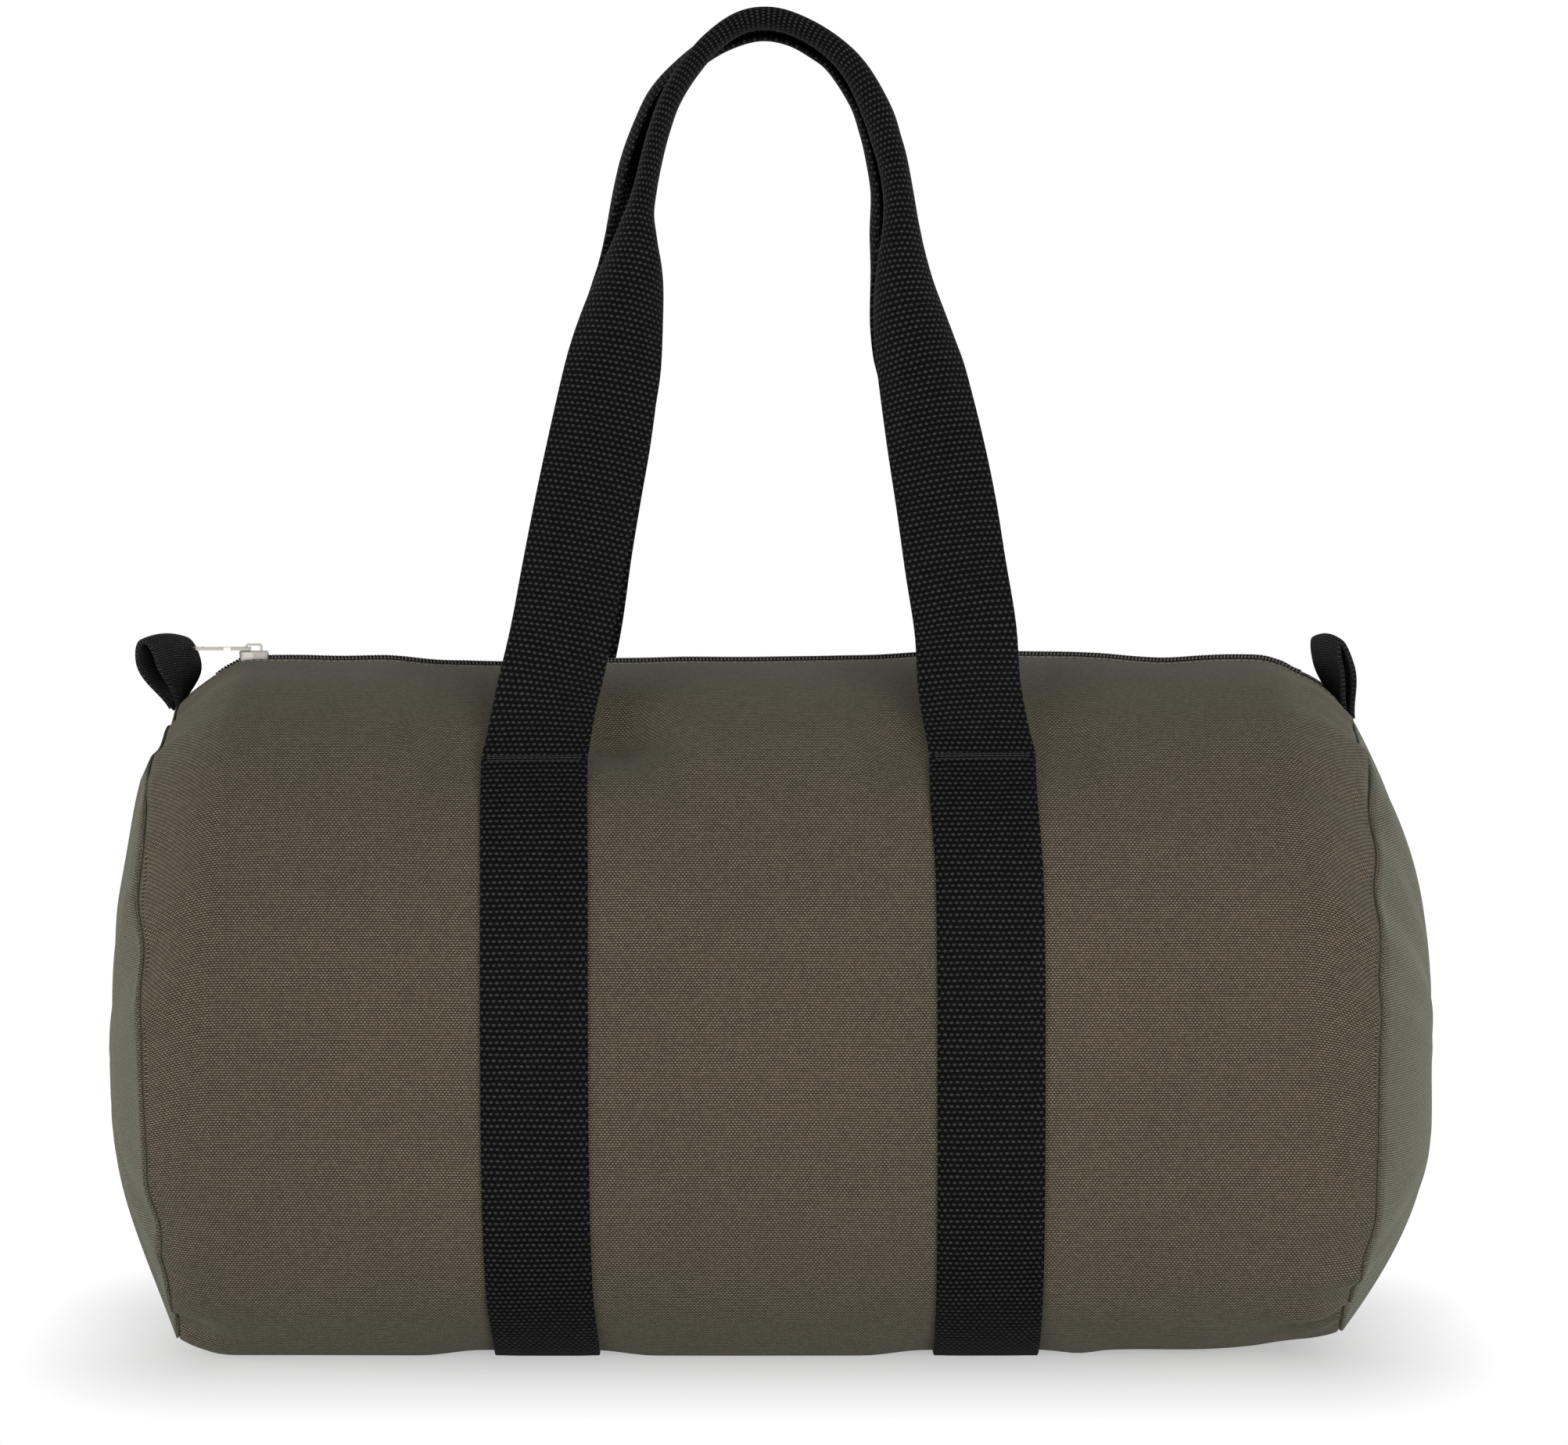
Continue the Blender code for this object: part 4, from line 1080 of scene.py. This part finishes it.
def running_lengths(points):
    total = 0.0
    lengths = [0.0]
    for before, after in zip(points, points[1:]):
        total += (after - before).length
        lengths.append(total)
    return lengths


def sewn_strap(name, middle, node):
    thickness = bpy.context.scene.bag_sizes.webbing_thickness
    turns = girth_turns(turn_at_height(STITCH_HEIGHT), 260)

    def point(turn, across, lift):
        droop = STRAP_EDGE_DROOP * abs(2 * across) ** STRAP_EDGE_POWER
        wander = along_table(STRAP_WANDER, turn)[0 if middle < 0 else 1]
        x = middle + wander + across * STRAP_WIDTH
        return body_point(x, turn, STRAP_GAP + lift * thickness - droop, STRAP_HOLLOW)

    lengths = running_lengths([point(turn, 0.0, 1.0) for turn in turns])
    sheet = sweep_webbing(point, turns, lengths, STRAP_WIDTH, 16)
    finish_piece(name, sheet, "webbing_cloth", "bag", [node])


def way_along(curve, share):
    """Direction in which a curve of (across, up) points runs at a share of the way over."""
    ahead = curve(min(share + WAY_SHARE, 1.0))
    behind = curve(max(share - WAY_SHARE, 0.0))
    return Vector((ahead[0] - behind[0], ahead[1] - behind[1])).normalized()


def roll_angle(width):
    """Angle that the webbing is rolled round where it shows that width, up to a closed grip."""
    if width >= STRAP_WIDTH * FLAT_SHARE:
        return FLAT_ROLL
    half_round = STRAP_WIDTH * 2 / math.pi
    if width <= half_round:
        return blend(math.pi, CLOSED_ROLL, smooth_step(half_round - width, 0.0, ROLL_CLOSES))
    low, high = FLAT_ROLL, math.pi
    for attempt in range(ROLL_TRIES):
        middle = (low + high) / 2
        if math.sin(middle / 2) / (middle / 2) > width / STRAP_WIDTH:
            low = middle
        else:
            high = middle
    return low


def folded_section(width, across, lift, thickness):
    """Place (sideways, inwards) in the section of webbing that is rolled to show that width."""
    turn = roll_angle(width)
    radius = STRAP_WIDTH / turn
    natural = 2 * radius * math.sin(min(turn, math.pi) / 2)
    squeeze = min(max((width - thickness) / (natural - thickness), LEAST_SQUEEZE), 1.0)
    depth_share = blend(1.0, GRIP_DEPTH_SHARE, smooth_step(turn, math.pi, CLOSED_ROLL))
    angle = turn * across
    tilt = Vector((math.sin(angle) * squeeze, math.cos(angle))).normalized()
    wall = (lift - 1.0) * thickness
    wide = radius * math.sin(angle) * squeeze + tilt.x * wall
    deep = radius * (1 - math.cos(angle)) * depth_share - tilt.y * wall
    return wide, deep


def free_handle(name, side, line, body, node):
    """Free loop of webbing that folds lengthwise into a grip. side is 1 at the back."""
    thickness = bpy.context.scene.bag_sizes.webbing_thickness
    stitch_turn = turn_at_height(STITCH_HEIGHT)
    low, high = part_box(node)
    pivot = Vector((0.0, high[1] if side > 0 else low[1], low[2]))
    lean = math.asin((abs(pivot.y) - GRIPS_APART / 2) / (high[2] - low[2]))
    up = Vector((0.0, -side * math.sin(lean), math.cos(lean)))
    out = Vector((0.0, side * math.cos(lean), math.sin(lean)))
    shares = spread(0.0, 1.0, 300)
    feet = []
    for middle in (-STRAP_MIDDLE, STRAP_MIDDLE):
        turn = 1 - stitch_turn if side > 0 else stitch_turn
        sewn = body_point(middle, turn, STRAP_GAP + thickness, STRAP_HOLLOW)
        feet.append(sewn - pivot - Vector((middle, 0.0, 0.0)))

    def foot_offset(share, rise):
        """Carries the foot onto its strap's end, and leaves along the strap's slope."""
        gone = min(max(rise / FOOT_REACH, 0.0), 1.0)
        bow = FOOT_SLOPE * FOOT_REACH * gone * (1 - gone) ** 2
        return feet[0 if share < 0.5 else 1] * (1 - smooth_step(gone, 0.0, 1.0)) - out * bow

    def middle_of(share):
        x, rise = along_line(line, share)[:2]
        return pivot + Vector((x, 0.0, 0.0)) + up * rise

    def sideways_at(share, rise):
        """Direction (along X, up the loop) of the webbing's width, which is level at the feet."""
        way = way_along(lambda place: along_line(line, place), share)
        level = Vector((math.copysign(1.0, 0.5 - share), 0.0))
        loop_share = smooth_step(rise, 0.0, FOOT_TURN_REACH)
        return level.lerp(Vector((way.y, -way.x)), loop_share).normalized()

    def point(share, across, lift):
        rise, width = along_line(line, share)[1:]
        wide, deep = folded_section(width, across, lift, thickness)
        sideways = sideways_at(share, rise) * wide
        spot = middle_of(share) + foot_offset(share, rise)
        return spot + Vector((sideways.x, 0.0, 0.0)) + up * sideways.y - out * deep

    lengths = running_lengths([middle_of(share) for share in shares])
    sheet = sweep_webbing(point, shares, lengths, STRAP_WIDTH, 28)
    finish_piece(name, sheet, "webbing_cloth", body, [node])


def end_tab(name, side, twist, lean, belly_half, body, node):
    """Short loop of webbing on a seam.

    It twists by that angle and leans along X by that share of its height. belly_half is half the
    width of its loop, seen from the front.
    """
    thickness = bpy.context.scene.bag_sizes.webbing_thickness
    low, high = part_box(node)
    base = low[2] - TAB_SINK + along_table(TOP_WANDER, side * HALF_LENGTH)[0]
    height = high[2] + TAB_EXTRA - base
    half_neck = thickness * TAB_NECK_SHARE
    middle_x = side * (HALF_LENGTH + TAB_STAND_OFF) + seam_shift(0.0, side)
    shares = spread(0.0, 1.0, 90)

    def spine(share):
        angle = math.tau * share
        belly = math.sin(angle) * math.sin(angle / 2) / TAB_WIDEST_SHARE
        rise = height * (1 - math.cos(angle)) / 2
        offset = -half_neck * (1 - 2 * share) - (belly_half - half_neck) * belly
        return offset, rise

    def point(share, across, lift):
        offset, rise = spine(share)
        way = way_along(spine, share)
        wall = (lift - 0.5) * thickness
        offset -= way.y * wall
        rise += way.x * wall
        turn = twist * smooth_step(rise, 0.0, height * TAB_TWIST_SHARE)
        beside = across * TAB_WIDTH
        x = offset * math.cos(turn) - beside * math.sin(turn)
        y = offset * math.sin(turn) + beside * math.cos(turn)
        droop = TAB_EDGE_DROOP * (2 * across) ** 2 * smooth_step(rise, 0.0, height)
        return Vector((middle_x + x + lean * rise, y, base + rise - droop))

    lengths = running_lengths([point(share, 0.0, 1.0) for share in shares])
    sheet = sweep_webbing(point, shares, lengths, TAB_WIDTH, 12)
    finish_piece(name, sheet, "tab_cloth", body, [node])


# Thread

def one_stitch(length, radius):
    """A short rounded bar of thread that lies along X."""
    bar = bmesh.new()
    bmesh.ops.create_uvsphere(bar, u_segments=6, v_segments=4, radius=radius)
    bmesh.ops.rotate(bar, verts=bar.verts, matrix=Matrix.Rotation(math.pi / 2, 3, "Y"))
    bmesh.ops.scale(bar, verts=bar.verts, vec=(length / 2 / radius, 1.0, 1.0))
    mesh = bpy.data.meshes.new("stitch")
    bar.to_mesh(mesh)
    bar.free()
    return mesh


def stitch_places(points, pitch):
    """Placements along a line of points, one for each stitch."""
    places = []
    carried = 0.0
    for before, after in zip(points, points[1:]):
        step = after - before
        length = step.length
        while carried < length:
            spot = before + step * (carried / length)
            turn = step.to_track_quat("X", "Z").to_matrix().to_4x4()
            places.append(Matrix.Translation(spot) @ turn)
            carried += pitch
        carried -= length
    return places


def sew(name, lines, length, radius, pitch, material):
    seam = bmesh.new()
    stitch = one_stitch(length, radius)
    for points in lines:
        repeat_shape(seam, stitch, stitch_places(points, pitch))
    bpy.data.meshes.remove(stitch)
    finish_piece(name, seam, material, "bag", [])


def zip_topstitch():
    pitch = bpy.context.scene.bag_sizes.stitch_pitch
    turn = turn_at_width(TOPSTITCH_LINE)
    end = HALF_LENGTH - TOPSTITCH_SETBACK
    lines = []
    for side_turn in (turn, 1 - turn):
        lines.append([body_point(x, side_turn, TOPSTITCH_LIFT) for x in spread(-end, end, 220)])
    sew(
        "zip_topstitch", lines, length=pitch * STITCHED_SHARE, radius=0.00028, pitch=pitch,
        material="canvas_thread",
    )


def strap_stitching():
    face = STRAP_GAP + bpy.context.scene.bag_sizes.webbing_thickness
    half = STRAP_WIDTH / 2 - STRAP_STITCH_SETBACK
    lines = []
    for middle in (-STRAP_MIDDLE, STRAP_MIDDLE):
        xs = spread(middle - half, middle + half, 24)
        for drop in STRAP_STITCH_DROPS:
            turn = turn_at_height(STITCH_HEIGHT - drop)
            for side_turn in (turn, 1 - turn):
                lines.append([body_point(x, side_turn, face, STRAP_HOLLOW) for x in xs])
    sew(
        "strap_stitching", lines, length=0.0019, radius=0.0003, pitch=0.0016,
        material="black_thread",
    )


# Stage

def soft_lamp(name, place, target_height, size, power):
    data = bpy.data.lights.new(name, "AREA")
    data.shape = "RECTANGLE"
    data.size, data.size_y = size
    data.energy = power
    lamp = bpy.data.objects.new(name, data)
    lamp.location = place
    bpy.context.scene.collection.objects.link(lamp)
    way = Vector((0.0, 0.0, target_height)) - lamp.location
    lamp.rotation_euler = way.to_track_quat("-Z", "Y").to_euler()


def seen_by_camera(tree):
    """1 for what the camera, a reflection or a clear piece sees, 0 for light."""
    path = tree.nodes.new("ShaderNodeLightPath")
    camera = path.outputs["Is Camera Ray"]
    glossy = path.outputs["Is Glossy Ray"]
    clear = path.outputs["Is Transmission Ray"]
    either = math_node(tree, "MAXIMUM", camera, glossy)
    return math_node(tree, "MAXIMUM", either, clear)


def place_camera():
    scene = bpy.context.scene
    data = bpy.data.cameras.new("camera")
    data.lens = CAMERA_LENS
    data.sensor_width = 36.0
    data.clip_end = 50.0
    camera = bpy.data.objects.new("camera", data)
    back = Vector((0.0, -math.cos(CAMERA_ELEVATION), math.sin(CAMERA_ELEVATION)))
    camera.location = Vector(CAMERA_TARGET) + back * CAMERA_DISTANCE
    camera.rotation_euler = (math.pi / 2 - CAMERA_ELEVATION, 0.0, 0.0)
    scene.collection.objects.link(camera)
    scene.camera = camera


def pale_floor():
    """A floor with a painted shadow: a soft grey patch round the bag where the lit floor shows, with
    the bag's real cast shadow in it, going over to an even white further off.
    """
    material, tree, shader = new_material("pale_floor")
    shader.inputs["Base Color"].default_value = (0.86, 0.86, 0.86, 1.0)
    shader.inputs["Roughness"].default_value = 0.9
    shader.inputs["Specular IOR Level"].default_value = 0.0
    glow = tree.nodes.new("ShaderNodeEmission")
    glow.inputs["Color"].default_value = (1.0, 1.0, 1.0, 1.0)
    glow.inputs["Strength"].default_value = 1.0
    where = tree.nodes.new("ShaderNodeTexCoord")
    folded = vector_node(tree, "ABSOLUTE", where.outputs["Object"])
    outside = vector_node(tree, "SUBTRACT", folded, (*SHADOW_HALF_SIZE, 0.0))
    clipped = vector_node(tree, "MAXIMUM", outside)
    shares = vector_node(tree, "MULTIPLY", clipped, (*SHADOW_FADE, 0.0))
    # painted shadow: the share of even white grows from SHADOW_GLOW within the patch to all of it
    # further off
    far = tree.nodes.new("ShaderNodeMapRange")
    far.inputs["From Max"].default_value = 0.10
    far.inputs["To Min"].default_value = SHADOW_GLOW
    tree.links.new(vector_node(tree, "LENGTH", shares), far.inputs["Value"])
    mix = tree.nodes.new("ShaderNodeMixShader")
    tree.links.new(math_node(tree, "MULTIPLY", seen_by_camera(tree), far.outputs[0]), mix.inputs[0])
    tree.links.new(shader.outputs[0], mix.inputs[1])
    tree.links.new(glow.outputs[0], mix.inputs[2])
    tree.links.new(mix.outputs[0], tree.nodes["Material Output"].inputs["Surface"])
    return material


def lay_floor():
    sheet = bmesh.new()
    bmesh.ops.create_grid(sheet, x_segments=1, y_segments=1, size=FLOOR_HALF_SIZE)
    mesh = bpy.data.meshes.new("floor")
    sheet.to_mesh(mesh)
    sheet.free()
    floor = bpy.data.objects.new("floor", mesh)
    bpy.context.scene.collection.objects.link(floor)
    mesh.materials.append(pale_floor())


def light_studio():
    """A white room that the camera sees brighter than the bag does, and four soft lamps."""
    world = bpy.data.worlds.new("studio")
    bpy.context.scene.world = world
    world.use_nodes = True
    tree = world.node_tree
    background = tree.nodes["Background"]
    background.inputs["Color"].default_value = (1.0, 1.0, 1.0, 1.0)
    strength = math_node(tree, "MULTIPLY_ADD", seen_by_camera(tree), 1.0 - ROOM_LIGHT, ROOM_LIGHT)
    tree.links.new(strength, background.inputs["Strength"])
    for lamp in LAMPS:
        soft_lamp(*lamp)


# Operators

class BAG_OT_stage(bpy.types.Operator):
    """Set up the camera, the floor and the lamps"""

    bl_idname = "bag.stage"
    bl_label = "Stage"

    def execute(self, context):
        context.scene.view_settings.view_transform = "Standard"
        place_camera()
        lay_floor()
        light_studio()
        return {"FINISHED"}


class BAG_OT_canvas(bpy.types.Operator):
    """Sew the barrel: its body, its two ends and the binding of its seams"""

    bl_idname = "bag.canvas"
    bl_label = "Canvas"

    def execute(self, context):
        canvas_body()
        for name, side in (("left", -1), ("right", 1)):
            canvas_end(f"{name}_end", side, f"{name}_end_panel")
            seam_binding(f"{name}_binding", side, f"{name}_seam_binding")
        return {"FINISHED"}


class BAG_OT_zip(bpy.types.Operator):
    """Fit the zip: two tapes, two rows of teeth and the plated slider and pull"""

    bl_idname = "bag.zip"
    bl_label = "Zip"

    def execute(self, context):
        for name, side, phase in (("front", -1, 0.25), ("back", 1, 0.75)):
            zip_tape(f"{name}_tape", side, f"{name}_zip_tape")
            zip_row(f"{name}_teeth", side, phase, f"{name}_zip_coil")
        for node in ("zip_slider", "zip_pull"):
            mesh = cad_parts[node].data
            mesh.materials.clear()
            mesh.materials.append(material_for("nickel_plate"))
        return {"FINISHED"}


class BAG_OT_webbing(bpy.types.Operator):
    """Sew on the webbing: straps, free handles and end tabs"""

    bl_idname = "bag.webbing"
    bl_label = "Webbing"

    def execute(self, context):
        sewn_strap("left_webbing", -STRAP_MIDDLE, "left_strap")
        sewn_strap("right_webbing", STRAP_MIDDLE, "right_strap")
        free_handle("front_grip", -1, FRONT_GRIP_LINE, "front_handle", "front_handle")
        free_handle("back_grip", 1, BACK_GRIP_LINE, "back_handle", "back_handle")
        end_tab(
            "left_loop", -1, twist=math.radians(-37), lean=-0.17, belly_half=0.0058,
            body="left_tab", node="left_tab",
        )
        end_tab(
            "right_loop", 1, twist=math.radians(20), lean=-0.25, belly_half=0.0031,
            body="right_tab", node="right_tab",
        )
        return {"FINISHED"}


class BAG_OT_thread(bpy.types.Operator):
    """Sew the stitches that show"""

    bl_idname = "bag.thread"
    bl_label = "Thread"

    def execute(self, context):
        zip_topstitch()
        strap_stitching()
        return {"FINISHED"}


class BAG_PT_bag(bpy.types.Panel):
    """Sizes, colours and pieces of the bag"""

    bl_idname = "BAG_PT_bag"
    bl_label = "Canvas barrel bag"
    bl_space_type = "VIEW_3D"
    bl_region_type = "UI"
    bl_category = "Bag"

    def draw(self, context):
        layout = self.layout
        for group in (context.scene.bag_sizes, context.scene.bag_colours):
            column = layout.column()
            for label in group.__annotations__:
                column.prop(group, label)
        for operator in OPERATORS:
            layout.operator(operator.bl_idname)


OPERATORS = (BAG_OT_stage, BAG_OT_canvas, BAG_OT_zip, BAG_OT_webbing, BAG_OT_thread)
CLASSES = (BagSizes, BagColours, *OPERATORS, BAG_PT_bag)


def register():
    for each in CLASSES:
        bpy.utils.register_class(each)
    bpy.types.Scene.bag_sizes = PointerProperty(type=BagSizes)
    bpy.types.Scene.bag_colours = PointerProperty(type=BagColours)


def unregister():
    del bpy.types.Scene.bag_colours
    del bpy.types.Scene.bag_sizes
    for each in reversed(CLASSES):
        bpy.utils.unregister_class(each)


def main():
    register()
    bpy.ops.bag.stage()
    bpy.ops.bag.canvas()
    bpy.ops.bag.zip()
    bpy.ops.bag.webbing()
    bpy.ops.bag.thread()


if __name__ == "__main__":
    main()
